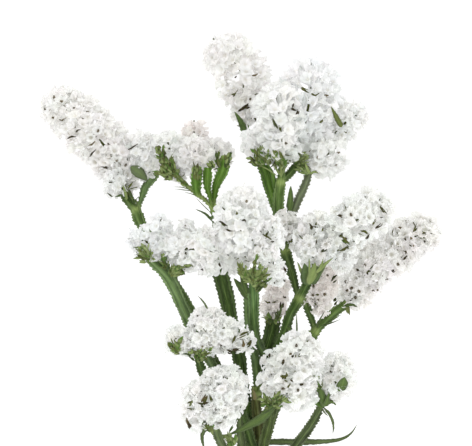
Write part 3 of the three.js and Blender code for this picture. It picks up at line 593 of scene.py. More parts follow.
# The bracts beside cups: their spread, light and brown.
CUP_BRACT_SPREAD = 0.25
CUP_BRACT_LIGHT = (0.45, 1.1)
CUP_BRACT_BROWN = (0.2, 1.2)
# A bract between the cups: the points along it and along each of its strokes, how many strokes, how high
# it lies over the spike, the gap that cups leave round it, and a place that is far from all cups.
MARK_POINTS = 7
STROKE_POINTS = 6
STROKES = 3
MARK_LIFT = 0.3
MARK_GAP = 1.9
FAR_AWAY = 1000
# The strokes' shares of the half width. The first is wider, unless the half width reaches BROAD_MARK.
FIRST_STROKE = 0.7
NEXT_STROKE = 0.5
BROAD_MARK = 1.3
# How far the strokes stray as a whole and at their tips, in half widths, and how they are lit.
STROKE_STRAY = 0.35
STROKE_TIP_STRAY = 0.5
STROKE_LIGHT = (0.7, 1.4)

# Below REST_ZONE things press flat against the surface. Above TOP_ZONE they stay within TOP_ROOM of it.
REST_ZONE = 2.5
TOP_ZONE = 97
TOP_ROOM = 6

# The winged stem: its core's largest radius, and that radius as a share of the half width.
CORE_RADIUS = 1.4
CORE_SHARE = 0.55
# How light a stem is at its foot and at its tip.
FOOT_SHADE = 0.75
TIP_SHADE = 1.2
# The length between a stem's cross-sections.
STEM_STEP = 0.45
# The ridge on the core: its height, the shares of that which stay and sway, and the sway's length.
RIDGE_HEIGHT = 0.7
RIDGE_STAY = 0.7
RIDGE_SWAY = 0.3
RIDGE_LENGTH = 6
# How much a stem's light sways along it, and over what length.
LIGHT_SWAY = 0.12
LIGHT_LENGTH = 23
# How far out the painted shade on a darker wing is full.
SHADOW_REACH = 1.5
# Where the wings leave the core and how wide they are at least, in radii of the core.
WING_ROOT = 1.05
LEAST_WING = 1.1
# How many degrees the wings turn to and fro, with the length of one radian of that.
WEAVE = 6
WEAVE_LENGTH = 17
# The teeth, the slow waves and the two ruffles of the wings' edges. Each tooth rises by a power of its
# length, its middle lies at TOOTH_MIDDLE of its depth, and from FULL_RUFFLE on a wing ruffles fully.
TOOTH_LENGTHS = (1.7, 3.1)
TOOTH_DEPTHS = (0.45, 1.35)
TOOTH_POWER = 1.5
TOOTH_MIDDLE = 0.4
EDGE_WAVE = 0.05
EDGE_LENGTH = 7
FULL_RUFFLE = 4
RUFFLE_LENGTH = 14
RUFFLE_DEPTH = 0.9
FINE_RUFFLE_LENGTH = 5.3
FINE_RUFFLE_DEPTH = 0.3
# How far from a fork a stem is thicker and paler, and how much thicker.
NODE_REACH = 2.4
NODE_SWELL = 0.35
# The wing from its edge in: share of its width, half thickness, shade. Ribs are pale; grooves get painted
# shade.
WING_ROWS = ((1.0, 0.0, 0.95), (0.86, 0.12, 0.75), (0.60, 0.38, 1.5), (0.32, 0.22, 0.52), (0.0, 0.45, 0.9))
# The core's upper side and its keel, in shares of its radius: across, height, and the upper side's shade,
# which is painted lighter at the top than on the sides and keel: a painted highlight.
CORE_ROWS = ((0.7, 0.75, 0.9), (0.28, 1.0, 1.2))
KEEL_ROWS = ((-0.7, -0.72), (0, -1.6), (0.7, -0.72))
KEEL_SHADE = 0.9
# The dry bracts round a branch's foot: how many, how far along, their spread, sizes and bends.
SHEATH_BRACTS = 3
SHEATH_START = 2
SHEATH_SPREAD = 0.4
SHEATH_LENGTHS = (4, 7)
SHEATH_WIDTHS = (0.4, 0.8)
SHEATH_BENDS = (0.3, 1.2)

# A blade's section: the share of its half width and the height in half thicknesses.
BLADE_SECTION = ((1, 0), (0.5, 1), (0, 1.4), (-0.5, 1), (-1, 0), (-0.5, -1), (0, -1.6), (0.5, -1))
# The length of one radian of a blade's ripple, and how full its outline is.
RIPPLE_LENGTH = 3.1
OUTLINE_POWER = 0.75
# A leaf's thickness, the fold along its midrib, the ripple and the teeth of its edge, and how blunt its
# foot is. A leaf with a half width below 1 has less of the thickness, ripple and teeth.
LEAF_THICKNESS = 0.5
LEAF_FOLD = 0.22
LEAF_RIPPLE = 0.3
LEAF_TEETH = 0.2
LEAF_BLUNT = 0.5
# How light a leaf is at its midrib, how much of that is lost at its edge, and from where a tip is brown.
LEAF_LIGHT = 1.15
LEAF_SHADE = 0.35
BROWN_FROM = 0.45
# Where a blade is widest: below 1 nearer its foot, above 1 nearer its tip.
FOOT_FULL = 0.62
TIP_FULL = 1.5
# The pieces whose small leaves are widest near the tip, and from what half width.
FULL_LEAVED = ("branch_far_left_fork", "spike_low_right_outer")
FULL_WIDTH = 2
# Bracts at least this wide and this brown at the tip are ragged tufts of small ones.
TUFT_WIDTH = 1.4
TUFT_BROWN = 0.2
TUFT_LEAST = 6
TUFT_DENSITY = 0.6
TUFT_LENGTHS = (2.2, 4.8)
TUFT_WIDTHS = (0.5, 1.15)
# How a tuft's bracts splay from its middle, how they spread and rise, and how they bend.
TUFT_SPLAY = 0.35
TUFT_SPREAD = 0.24
TUFT_RISES = (-0.1, 0.3)
TUFT_STARTS = (-0.3, 0.9)
TUFT_SIDE_BEND = 0.6
TUFT_BENDS = (-0.3, 0.5)
# A bract is raised to this gap over the cups, unless they stand higher over it than the depth.
RAISE_GAP = 0.3
HIDDEN_DEPTH = 9
# The points on each side over which the raise is evened out.
LIFT_BLEND = 3

# The points of a curve between two points of its route, and the steps along the finished curves.
CURVE_POINTS = 24
SPIKE_STEP = 0.5
LEAF_STEP = 0.9
BLADE_STEP = 0.7

# The first seed of the things of each kind. The next ones follow in the order of the tables.
SPIKE_SEEDS = 0
STEM_SEEDS = 500
OFFSHOOT_SEEDS = 700
LEAF_SEEDS = 900
BLADE_SEEDS = 1200

# The floor and the light. Lengths are in metres, and powers in watts.
FLOOR_SIZE = 12
FLOOR_GREY = (0.3, 0.3, 0.3, 1)
FLOOR_GLOW = 0.85
SKY_STRENGTH = 1.10
LIGHT_AIM = (0, 0.03, 0.04)
KEY_PLACE = (-0.7, 1.0, 1.7)
KEY_SIZE = 1.0
KEY_POWER = 9
FILL_PLACE = (1.1, -0.5, 1.5)
FILL_SIZE = 1.4
FILL_POWER = 5

PETAL, THROAT_SLOT, BRACT, STEM, LEAF = range(5)
ENDINGS = {"stem": "_winged", "leaf": "_blade", "flower": "_bloom"}
# The column of a point that never makes a sharp edge.
NO_COLUMN = -1


# ---------------------------------------------------------------- curves and bodies


def placed(point):
    """A point read in the view (across, down, height), and what follows it, in millimetres."""
    across, down, height, *rest = point
    pixel = PIXEL * (VIEW_HEIGHT - height) / (VIEW_HEIGHT - VIEW_LEVEL)
    x = VIEW_CENTRE[0] + (across - PICTURE[0] / 2) * pixel
    y = VIEW_CENTRE[1] + (PICTURE[1] / 2 - down) * pixel
    return (x, y, height, *rest)


def toward(start, goal, share):
    """A number or colour that has moved by a share towards another one."""
    return start + (goal - start) * share


def unit(v):
    """Vectors scaled to a length of one."""
    return v / np.maximum(np.linalg.norm(v, axis=-1, keepdims=True), 1e-9)


def lengths(points):
    """How far along a line each of its points lies."""
    return np.concatenate([[0], np.cumsum(np.linalg.norm(np.diff(points[:, :3], axis=0), axis=1))])


def smooth_route(route, step):
    """A centripetal Catmull-Rom curve through the placed points, resampled evenly."""
    p = np.array([placed(point) for point in route], float)
    p = np.vstack([2 * p[0] - p[1], p, 2 * p[-1] - p[-2]])
    knots = np.concatenate([[0], np.cumsum(np.linalg.norm(np.diff(p[:, :3], axis=0), axis=1) ** 0.5)])
    dense = []
    for i in range(1, len(p) - 2):
        t0, t1, t2, t3 = knots[i - 1:i + 3]
        t = np.linspace(t1, t2, CURVE_POINTS, endpoint=False)[:, None]
        a1 = (t1 - t) / (t1 - t0) * p[i - 1] + (t - t0) / (t1 - t0) * p[i]
        a2 = (t2 - t) / (t2 - t1) * p[i] + (t - t1) / (t2 - t1) * p[i + 1]
        a3 = (t3 - t) / (t3 - t2) * p[i + 1] + (t - t2) / (t3 - t2) * p[i + 2]
        b1 = (t2 - t) / (t2 - t0) * a1 + (t - t0) / (t2 - t0) * a2
        b2 = (t3 - t) / (t3 - t1) * a2 + (t - t1) / (t3 - t1) * a3
        dense.append((t2 - t) / (t2 - t1) * b1 + (t - t1) / (t2 - t1) * b2)
    dense = np.vstack(dense + [p[-2:-1]])
    length = lengths(dense)
    count = max(5, int(round(length[-1] / step)) + 1)
    along = np.linspace(0, length[-1], count)
    return along, np.stack([np.interp(along, length, column) for column in dense.T], 1)


def frames(points, twist=0.0):
    """Tangents, side vectors and upward normals of a curve, turned about it by the twist in radians."""
    tangent = unit(np.gradient(points, axis=0))
    side = unit(np.cross(tangent, (0.0, 0.0, 1.0)))
    normal = np.cross(side, tangent)
    c, s = np.cos(twist), np.sin(twist)
    if np.ndim(twist):
        c, s = c[:, None], s[:, None]
    return tangent, c * side + s * normal, c * normal - s * side


def ring_faces(steps, around, first=0):
    """Triangles of a closed tube of rings."""
    i, j = np.meshgrid(np.arange(steps - 1), np.arange(around), indexing="ij")
    k = (j + 1) % around
    a, b, c, d = i * around + j, (i + 1) * around + j, (i + 1) * around + k, i * around + k
    sides = np.stack([a, b, c], -1), np.stack([a, c, d], -1)
    return first + np.concatenate([side.reshape(-1, 3) for side in sides])


def loft(centres, side, normal, outline):
    """A closed body of cross-sections; outline is (steps, around, 2). A fan closes each end."""
    points = centres[:, None] + outline[..., :1] * side[:, None] + outline[..., 1:] * normal[:, None]
    steps, around = outline.shape[:2]
    j = np.arange(1, around - 1)
    start = np.stack([0 * j, j, j + 1], 1)
    last = (steps - 1) * around
    end = np.stack([last + 0 * j, last + j + 1, last + j], 1)
    return points.reshape(-1, 3), np.concatenate([ring_faces(steps, around), start, end])


class Body:
    """Collects the points, triangles, materials and point values of one piece."""

    def __init__(self):
        self.points, self.faces, self.slots = [], [], []
        self.tint, self.grain, self.columns = [], [], []
        self.count = 0

    def add(self, points, faces, slot, tint, grain, columns=NO_COLUMN):
        """Adds a shape. An edge between two points of one column stays sharp."""
        n = len(points)
        self.points.append(points)
        self.faces.append(faces + self.count)
        self.slots.append(np.full(len(faces), slot, np.int32))
        self.tint.append(np.broadcast_to(tint, (n, 3)))
        self.grain.append(np.broadcast_to(grain, (n, 3)))
        self.columns.append(np.broadcast_to(columns, n))
        self.count += n

    def piece(self, name, node, slot, materials):
        points = np.concatenate(self.points)
        low = points[:, 2] < REST_ZONE
        points[low, 2] = REST_ZONE * np.exp((points[low, 2] - REST_ZONE) / REST_ZONE)
        high = points[:, 2] > TOP_ZONE
        points[high, 2] = TOP_ZONE + TOP_ROOM * (1 - np.exp((TOP_ZONE - points[high, 2]) / TOP_ROOM))
        faces = np.concatenate(self.faces).astype(np.int32)
        kinds = np.concatenate(self.slots)
        used = sorted(set(kinds.tolist()))
        mesh = bpy.data.meshes.new(name)
        mesh.vertices.add(len(points))
        mesh.vertices.foreach_set("co", (points * MM).astype(np.float32).ravel())
        mesh.loops.add(faces.size)
        mesh.loops.foreach_set("vertex_index", faces.ravel())
        mesh.polygons.add(len(faces))
        mesh.polygons.foreach_set("loop_start", np.arange(0, faces.size, 3, dtype=np.int32))
        for kind in used:
            mesh.materials.append(materials[kind])
        mesh.polygons.foreach_set("material_index", np.searchsorted(used, kinds).astype(np.int32))
        mesh.polygons.foreach_set("use_smooth", np.ones(len(faces), bool))
        tint = np.concatenate([np.concatenate(self.tint), np.ones((len(points), 1))], 1)
        colours = mesh.attributes.new("tint", "FLOAT_COLOR", "POINT")
        colours.data.foreach_set("color", tint.astype(np.float32).ravel())
        grain = np.concatenate(self.grain).astype(np.float32)
        mesh.attributes.new("grain", "FLOAT_VECTOR", "POINT").data.foreach_set("vector", grain.ravel())
        mesh.update(calc_edges=True)
        mesh.validate()
        ends = np.empty(len(mesh.edges) * 2, np.int32)
        mesh.edges.foreach_get("vertices", ends)
        columns = np.concatenate(self.columns)[ends.reshape(-1, 2)]
        sharp = (columns[:, 0] == columns[:, 1]) & (columns[:, 0] != NO_COLUMN)
        mesh.attributes.new("sharp_edge", "BOOLEAN", "EDGE").data.foreach_set("value", sharp)
        thing = bpy.data.objects.new(name, mesh)
        bpy.context.scene.collection.objects.link(thing)
        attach(thing, "root")
        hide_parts(node)


# ---------------------------------------------------------------- materials


class Shade:
    """A node tree, with short ways to fill it."""

    def __init__(self, name):
        """Starts an empty material."""
        self.material = bpy.data.materials.new(name)
        self.material.use_nodes = True
        self.tree = self.material.node_tree
        self.tree.nodes.clear()

    def node(self, kind, inputs=None, **settings):
        """Makes a node. An input is a number or colour, or the socket that feeds it."""
        made = self.tree.nodes.new("ShaderNode" + kind)
        for key, value in settings.items():
            setattr(made, key, value)
        for key, value in (inputs or {}).items():
            if isinstance(value, bpy.types.NodeSocket):
                self.tree.links.new(value, made.inputs[key])
            else:
                made.inputs[key].default_value = value
        return made

    def mix(self, factor, a, b, blend="MIX"):
        """Colour a with a share of colour b."""
        return self.node("Mix", {0: factor, 6: a, 7: b}, data_type="RGBA", blend_type=blend).outputs[2]

    def math(self, operation, a, b=0.0):
        """A sum, product or other value of one or two numbers."""
        return self.node("Math", {0: a, 1: b}, operation=operation).outputs[0]

    def spread(self, value, low, high, to_low=0.0, to_high=1.0):
        """Maps a range of values to another one."""
        sockets = {"Value": value, "From Min": low, "From Max": high, "To Min": to_low, "To Max": to_high}
        return self.node("MapRange", sockets).outputs[0]

    def noise(self, scale, detail=3.0, vector=None):
        """Noise, over the object's own space unless a vector is given."""
        if vector is None:
            vector = self.node("TexCoord").outputs["Object"]
        sockets = {"Vector": vector, "Scale": scale, "Detail": detail, "Roughness": 0.55}
        return self.node("TexNoise", sockets).outputs["Fac"]

    def stretched(self, across, along, across_scale, along_scale):
        """Noise that is drawn out along a stem or leaf."""
        u = self.math("MULTIPLY", across, across_scale)
        v = self.math("MULTIPLY", along, along_scale)
        return self.noise(1.0, 3.0, self.node("CombineXYZ", {0: u, 1: v}).outputs[0])

    def attribute(self, name, output="Color"):
        """A value that the points of a body carry."""
        return self.node("Attribute", attribute_name=name).outputs[output]

    def grain(self):
        """The three values that every point of a body carries."""
        return self.node("SeparateXYZ", {0: self.attribute("grain", "Vector")}).outputs

    def bump(self, height, strength, distance):
        """The normal of a surface with small heights on it."""
        return self.node("Bump", {"Height": height, "Strength": strength, "Distance": distance}).outputs[0]

    def finish(self, colour, roughness, normal, specular, through=0.0, glow=0.0):
        """The shader: a solid surface, part of whose light comes through from behind, and any painted glow.
        """
        solid = self.node("BsdfPrincipled", {
            "Base Color": colour, "Roughness": roughness, "Normal": normal,
            "Specular IOR Level": specular, "Emission Strength": glow})
        if glow:
            solid.inputs["Emission Color"].default_value = WHITE
        out = solid.outputs[0]
        if through:
            behind = self.node("BsdfTranslucent", {"Color": colour, "Normal": normal})
            out = self.node("MixShader", {0: through, 1: out, 2: behind.outputs[0]}).outputs[0]
        self.node("OutputMaterial", {"Surface": out})
        return self.material


def petal_material():
    """Papery white: faint veins that fan out, a warm throat, cool mottling and a crinkled surface."""
    s = Shade("papery_cup")
    reach, lobe, depth = s.grain()
    vein_wave = s.math("ABSOLUTE", s.math("SINE", s.math("MULTIPLY", lobe, math.pi * 3)))
    vein = s.spread(vein_wave, 0.0, 0.22, 1.0, 0.0)
    cool = s.spread(s.noise(260.0, 4.0), 0.42, 0.72, 0.0, 0.22)
    warm = s.spread(reach, 0.0, 0.22, 0.35, 0.0)
    # Painted shade down the funnel to a brown eye, as strong as the third grain value.
    dark = s.math("MULTIPLY", s.spread(reach, 0.0, 0.45, 0.75, 0.0), depth)
    base = s.mix(cool, s.attribute("tint"), COOL_MOTTLE, "MULTIPLY")
    base = s.mix(s.math("MULTIPLY", vein, 0.12), base, VEIN_GREY)
    base = s.mix(warm, base, WARM_THROAT)
    base = s.mix(dark, base, THROAT_SHADE_BROWN)
    crinkle = s.math("ADD", s.math("MULTIPLY", vein, 0.5), s.noise(1500.0, 3.0))
    rough = s.spread(s.noise(700.0, 2.0), 0.3, 0.7, 0.5, 0.72)
    # The petals glow faintly white: painted light that brightens their folds.
    return s.finish(base, rough, s.bump(crinkle, 0.4, 0.0004), 0.2, 0.5, 0.07)


def throat_material():
    """The withered flower in a cup's mouth: brown, dull and rough."""
    s = Shade("withered_throat")
    patch = s.spread(s.noise(1800.0, 3.0), 0.35, 0.65)
    base = s.mix(patch, s.attribute("tint"), WITHERED_BROWN)
    return s.finish(base, 0.85, s.bump(s.noise(2600.0, 2.0), 0.5, 0.0002), 0.2)


def bract_material():
    """Keeled scales: green to brown, ribbed, with a dry papery edge."""
    s = Shade("bract")
    across = s.grain()[0]
    spots = s.spread(s.noise(900.0, 3.0), 0.45, 0.7, 0.0, 0.4)
    base = s.mix(spots, s.attribute("tint"), BRACT_SPOT)
    base = s.mix(s.spread(across, 0.7, 1.0, 0.0, 0.35), base, BRACT_EDGE)
    return s.finish(base, 0.65, s.bump(s.noise(1400.0, 3.0), 0.5, 0.0003), 0.12, 0.15)


def green_material(name, streak_scale, gloss, through):
    """Stem or leaf: fine lengthwise streaks, mottling, pale flecks, and wrinkles near the edge."""
    s = Shade(name)
    across, along, edge = s.grain()
    streak = s.stretched(across, along, streak_scale, 0.10)
    patch = s.stretched(across, along, 0.35, 0.12)
    wrinkle = s.stretched(across, along, 0.9, 2.6)
    flecks = s.spread(s.noise(1100.0, 2.0), 0.64, 0.8, 0.0, 0.35)
    # The wrinkles' creases near the edge get painted shade.
    crease_shade = s.math("MULTIPLY", s.spread(wrinkle, 0.5, 0.3), edge)
    base = s.attribute("tint")
    base = s.mix(s.spread(patch, 0.35, 0.7, 0.0, 0.6), base, GREEN_MOTTLE, "MULTIPLY")
    # Darker stripes where the streaks' bump is low: the stem's own striping and painted shade in its
    # grooves.
    base = s.mix(s.spread(streak, 0.48, 0.30, 0.0, 0.7), base, GROOVE_STRIPE_AND_SHADE, "MULTIPLY")
    base = s.mix(s.spread(streak, 0.52, 0.72, 0.0, 0.28), base, GREEN_STREAK)
    base = s.mix(flecks, base, GREEN_FLECK)
    base = s.mix(s.math("MULTIPLY", edge, 0.18), base, WING_GREY)
    base = s.mix(crease_shade, base, CREASE_PAINTED_SHADE, "MULTIPLY")
    rough = s.spread(patch, 0.3, 0.7, gloss, gloss + 0.2)
    height = s.math("ADD", s.math("MULTIPLY", streak, 0.7), s.math("MULTIPLY", wrinkle, 0.6))
    return s.finish(base, rough, s.bump(height, 0.6, 0.0005), 0.14, through)


# ---------------------------------------------------------------- cups and bracts


def ring(radius, angle, height):
    """Points around the Z axis."""
    return np.stack([radius * np.cos(angle), radius * np.sin(angle), height + 0 * angle], 1)


def cup_shape(rng, openness, segments, rings, pleat, crisp):
    """One papery cup along +Z: a slender tube with a closed mouth, and a pleated or softly folded limb."""
    a = np.linspace(0, TAU, segments, endpoint=False) + rng.normal(0, UNEVEN, segments)
    phase = rng.uniform(0, TAU, 3)
    rim = CLOSED_RIM + RIM_GAIN * openness
    rise = CLOSED_RISE - RISE_LOSS * openness
    squeeze, tilt = rng.uniform(*SQUEEZES), rng.uniform(*TILTS)
    pleats = np.where(np.arange(segments) % 2, 1, -1) * rng.uniform(*PLEATS, segments) * pleat
    ragged = rng.uniform(*RAGS, segments)
    lobes = np.cos(LOBES * a + phase[0])
    folds = sum(share * np.sin(waves * a + start) for (waves, share), start in zip(FOLDS, phase[1:]))
    lobe_wave, fold_wave = CRISP_WAVES if crisp else SOFT_WAVES
    lean = np.array((-rise, rim - THROAT)) / math.hypot(rise, rim - THROAT)
    points = [np.array([[0, 0, TUBE - MOUTH_DEPTH]])]
    grain = [np.zeros((1, 3))]
    for u in rings:
        radius = THROAT + (rim - THROAT) * u ** (1.15 - 0.25 * openness)
        radius = radius * (1 + fold_wave * u * (RIM_LOBE * lobes + RIM_FOLD * folds) + (u == 1.0) * ragged)
        height = TUBE + rise * (1 - (1 - u) ** 1.3) - CURL * openness * u ** 4
        wave = u ** 1.3 * (lobe_wave * lobes + fold_wave * folds + pleats)
        radius = radius + lean[0] * wave
        height = height + lean[1] * wave + (u == 1.0) * rng.uniform(*RIM_RISES, segments) * pleat
        x = radius * np.cos(a)
        points.append(np.stack([x, squeeze * radius * np.sin(a), height + tilt * u * x], 1))
        grain.append(np.stack([np.full(segments, u), a / TAU * LOBES, 0 * a], 1))
    j = np.arange(segments)
    mouth = np.stack([0 * j, 1 + j, 1 + (j + 1) % segments], 1)
    columns = np.concatenate([[NO_COLUMN], np.tile(j if crisp else NO_COLUMN + 0 * j, len(rings))])
    limb = (np.concatenate(points), np.concatenate([mouth, ring_faces(len(rings), segments, 1)]),
            np.concatenate(grain), columns)
    b = np.linspace(0, TAU, TUBE_SIDES, endpoint=False)
    tube = np.concatenate([ring(TUBE_BASE, b, 0.0), ring(THROAT, b, TUBE + TUBE_OVERLAP)])
    tube_grain = np.tile(np.array((0.45, 0.5, 0.0)), (len(tube), 1))
    return limb, (tube, ring_faces(2, TUBE_SIDES), tube_grain, np.full(len(tube), NO_COLUMN))


def withered_shape(rng):
    """The dried flower that fills the mouth of a cup: a crumpled cone of a few shreds."""
    b = np.linspace(0, TAU, SHREDS, endpoint=False)
    rim = rng.uniform(*SHRED_REACHES, SHREDS)
    shreds = ring(rim, b, TUBE + rng.uniform(*SHRED_RISES, SHREDS))
    rings = [ring(0.6, b, TUBE - 0.4), shreds, ring(0.2, b, TUBE + 0.2)]
    return np.concatenate(rings), ring_faces(len(rings), SHREDS)


def blade(path, half_width, thickness, fold, turn, wave=0.0, teeth=0.0, blunt=0.0, rng=None,
          fullness=FOOT_FULL):
    """A tapering leaf or bract along a path: a closed, keeled body. Grain is (edge, along, edge)."""
    n = len(path)
    t = np.linspace(0, 1, n)
    along = lengths(path)
    tangent, side, normal = frames(path, turn)
    shape = np.sin(math.pi * t ** fullness) ** OUTLINE_POWER
    shape = np.maximum(shape, blunt * (1 - t)) * half_width
    left, right = shape.copy(), shape.copy()
    phase = 0.0
    if rng is not None:
        left = left + teeth * shape / half_width * rng.uniform(-1, 1, n)
        right = right + teeth * shape / half_width * rng.uniform(-1, 1, n)
        phase = rng.uniform(0, TAU)
    ripple = wave * np.sin(along / RIPPLE_LENGTH + phase)
    thick = thickness * np.minimum(1, 8 * (1 - t) + 0.15) / 2
    section = []
    for reach, depth in BLADE_SECTION:
        width = (right if reach > 0 else left) * abs(reach)
        height = fold * width * (0.8 if abs(reach) < 1 else 1) + depth * thick + reach * ripple
        section.append(np.stack([math.copysign(1, reach) * width, height], 1))
    points, faces = loft(path, side, normal, np.stack(section, 1))
    edge = np.tile(np.abs([reach for reach, _ in BLADE_SECTION]), n)
    grain = np.stack([edge, np.repeat(along, len(BLADE_SECTION)), edge], 1)
    return points, faces, grain, np.repeat(t, len(BLADE_SECTION))


def scale_shape(rng, length, half_width):
    """A small keeled bract along +Z that curves towards +X, with its tip bent back."""
    t = SCALE_STEPS
    x = SCALE_BOW * length * np.sin(math.pi * t) + rng.uniform(*SCALE_TIP_BENDS) * t ** 3 * length * 0.5
    path = np.stack([x, 0 * t, length * t], 1)
    width = half_width * SCALE_OUTLINE
    back = -width * SCALE_HOLLOW
    hollow = -SCALE_THICKNESS * SCALE_BACK
    corners = ((back, width), (SCALE_THICKNESS, 0 * t), (back, -width), (hollow, 0 * t))
    rings = [path + np.stack([out, side, 0 * t], 1) for out, side in corners]
    points = np.stack(rings, 1).reshape(-1, 3)
    along = np.repeat(t, len(corners))
    grain = np.stack([np.tile((1.0, 0.0, 1.0, 0.0), len(t)), along, np.full(len(points), rng.uniform())], 1)
    return points, ring_faces(len(t), len(corners)), grain, along


def basis(direction, roll, guide):
    """A rotation whose third column is the direction and whose first leans to the guide, then rolled."""
    x = unit(guide - direction * (guide @ direction))
    y = np.cross(direction, x)
    c, s = math.cos(roll), math.sin(roll)
    return np.stack([c * x + s * y, c * y - s * x, direction], 1)


# ---------------------------------------------------------------- spikes


class Envelope:
    """The rounded outer shape of a spike or a side lobe: centres, tangents and radii along its route."""

    def __init__(self, route, rng):
        self.along, path = smooth_route(route, SPIKE_STEP)
        self.centre, wide = path[:, :3], path[:, 3]
        from_end = np.minimum(self.along / wide[0], (self.along[-1] - self.along) / wide[-1])
        self.radius = wide * np.sqrt(np.clip(1 - (1 - np.clip(from_end, 0, 1)) ** 2, 0, 1))
        self.tangent, self.side, self.normal = frames(self.centre)
        self.phase = rng.uniform(0, TAU, 2)
        self.slope = np.gradient(self.radius, self.along)
        self.weight = self.radius * np.sqrt(1 + self.slope ** 2)
        self.area = float(np.sum(TAU * self.weight) * self.along[1])

    def at(self, s, angle, share):
        """Position, outward normal, tangent and centre at lengths s and angles about the route."""
        def pick(values):
            return np.stack([np.interp(s, self.along, column) for column in values.T], 1)
        centre, side, normal = pick(self.centre), pick(self.side), pick(self.normal)
        tangent = unit(pick(self.tangent))
        radius = np.interp(s, self.along, self.radius)
        lump = 1
        for (depth, waves, length), phase in zip(LUMPS, self.phase):
            lump = lump + depth * np.sin(waves * angle + s / length + phase)
        out = np.cos(angle)[:, None] * side + np.sin(angle)[:, None] * normal
        point = centre + (share * radius * lump)[:, None] * out
        slope = np.clip(np.interp(s, self.along, self.slope), -STEEPEST, STEEPEST)
        return point, unit(out - slope[:, None] * tangent), tangent, centre

    def sample(self, rng, share):
        """Random places spread evenly over the surface, about one to a square millimetre."""
        count = int(self.area)
        s = rng.uniform(0, self.along[-1], count * 3)
        weight = np.interp(s, self.along, self.weight)
        s = s[rng.uniform(0, weight.max(), len(s)) < weight][:count]
        return self.at(s, rng.uniform(0, TAU, len(s)), share)

    def holds(self, points, share):
        """Which points lie inside the shape, at a share of its radius."""
        gap = np.linalg.norm(points[:, None] - self.centre[None, ::3], axis=2) - share * self.radius[::3]
        return gap.min(1) < 0


def lifted(lobes, across, down):
    """The point of a spike's upper side that shows at a place in the view."""
    height = VIEW_LEVEL
    for _ in range(4):
        x, y, _ = placed((across, down, height))
        tops = []
        for lobe in lobes:
            gap = np.hypot(lobe.centre[:, 0] - x, lobe.centre[:, 1] - y)
            over = np.sqrt(np.clip(lobe.radius ** 2 - gap ** 2, 0, None))
            tops.append(np.where(gap < lobe.radius, lobe.centre[:, 2] + over, 0).max())
        height = max(tops) or lobes[0].centre[:, 2].mean()
    return np.array((x, y, height))


def spread_over(lobes, rng, share):
    """Places over a spike and its side lobes, without those that lie inside another of them."""
    parts = []
    for lobe in lobes:
        part = lobe.sample(rng, share)
        free = np.ones(len(part[0]), bool)
        for other in lobes:
            if other is not lobe:
                free &= ~other.holds(part[0], share * 0.95)
        parts.append([values[free] for values in part])
    return [np.concatenate(values) for values in zip(*parts)]


def scattered(candidates, spacing, rng):
    """Picks points one by one, each the farthest from all before it, until none is a spacing away."""
    chosen = [int(rng.integers(len(candidates)))]
    gap = np.linalg.norm(candidates - candidates[chosen[0]], axis=1)
    while gap.max() > spacing:
        chosen.append(int(gap.argmax()))
        gap = np.minimum(gap, np.linalg.norm(candidates - candidates[chosen[-1]], axis=1))
    return chosen


def add_cup(body, shape, base, turn, size, tint, depth):
    """Sets a cup in place: its limb and its tube, with how much painted shade, brown at the eye, its throat
    gets.
    """
    for points, faces, grain, columns in shape:
        grain = grain + np.array((0, 0, depth))
        body.add(base + size * points @ turn.T, faces, PETAL, tint, grain, columns)


def add_scale(body, base, facing, away, colour, tip, size, rng):
    """A keeled bract, browner towards its tip."""
    points, faces, grain, t = SCALES[int(rng.integers(len(SCALES)))]
    turn = basis(facing, rng.uniform(-0.6, 0.6), unit(away + 1e-3))
    brown = np.clip(tip * t ** 2, 0, 1)[:, None]
    colour = colour * (1 - brown) + GREENS["bark"] * brown
    body.add(base + size * points @ turn.T, faces, BRACT, colour, grain)


def add_base_bracts(body, lobe, rng):
    """The leafy green bracts that hold a spike at its foot."""
    count = int(FOOT_BRACTS + lobe.radius.max() * FOOT_BRACTS_PER_RADIUS)
    s = rng.uniform(0.3, FOOT_BRACT_REACH * lobe.along[-1], count)
    _, normal, tangent, centre = lobe.at(s, rng.uniform(0, TAU, count), 1.0)
    for k in range(count):
        lean = FOOT_BRACT_OUT * normal[k] + FOOT_BRACT_UP * tangent[k]
        facing = unit(lean + rng.normal(0, FOOT_BRACT_SPREAD, 3))
        colour = toward(GREENS["olive"], GREENS["pale"], rng.uniform(0, FOOT_BRACT_PALE))
        brown = rng.uniform(0, FOOT_BRACT_BROWN)
        add_scale(body, centre[k], facing, normal[k], colour, brown, FOOT_BRACT_SIZE, rng)


def add_marks(body, lobes, marks, rng):
    """The dark bracts between the cups of the upper side, partly painted shade. Returns the points along
    them.
    """
    seen = [np.full((1, 3), FAR_AWAY)]
    steps = np.linspace(0, 1, MARK_POINTS)
    for half_width, tint, line in marks:
        path = np.array([lifted(lobes, across, down) for across, down in line])
        given = np.linspace(0, 1, len(path))
        path = np.stack([np.interp(steps, given, column) for column in path.T], 1)
        path[:, 2] += MARK_LIFT
        seen.append(path)
        for stroke in range(STROKES):
            first, last = rng.uniform(0, 0.4), rng.uniform(0.6, 1)
            t = np.linspace(first, last, STROKE_POINTS)
            own = np.stack([np.interp(t, steps, column) for column in path.T], 1)
            own = own + rng.normal(0, STROKE_STRAY * half_width, 3)
            own = own + t[:, None] ** 2 * rng.normal(0, STROKE_TIP_STRAY * half_width, 3)
            wider = stroke == 0 and half_width < BROAD_MARK
            width = half_width * (FIRST_STROKE if wider else NEXT_STROKE)
            turn = rng.uniform(-0.9, 0.9)
            points, faces, grain, _ = blade(own, width, thickness=0.4, fold=-0.3, turn=turn, wave=0.3)
            # The strokes are darkened below their tint: partly the bracts' own brown, partly painted shade
            # in the gaps.
            colour = GREENS[tint] * 0.42 + GREENS["bark"] * 0.35
            body.add(points, faces, BRACT, colour * rng.uniform(*STROKE_LIGHT), grain * (0.6, 1, 1))
    return np.concatenate(seen)


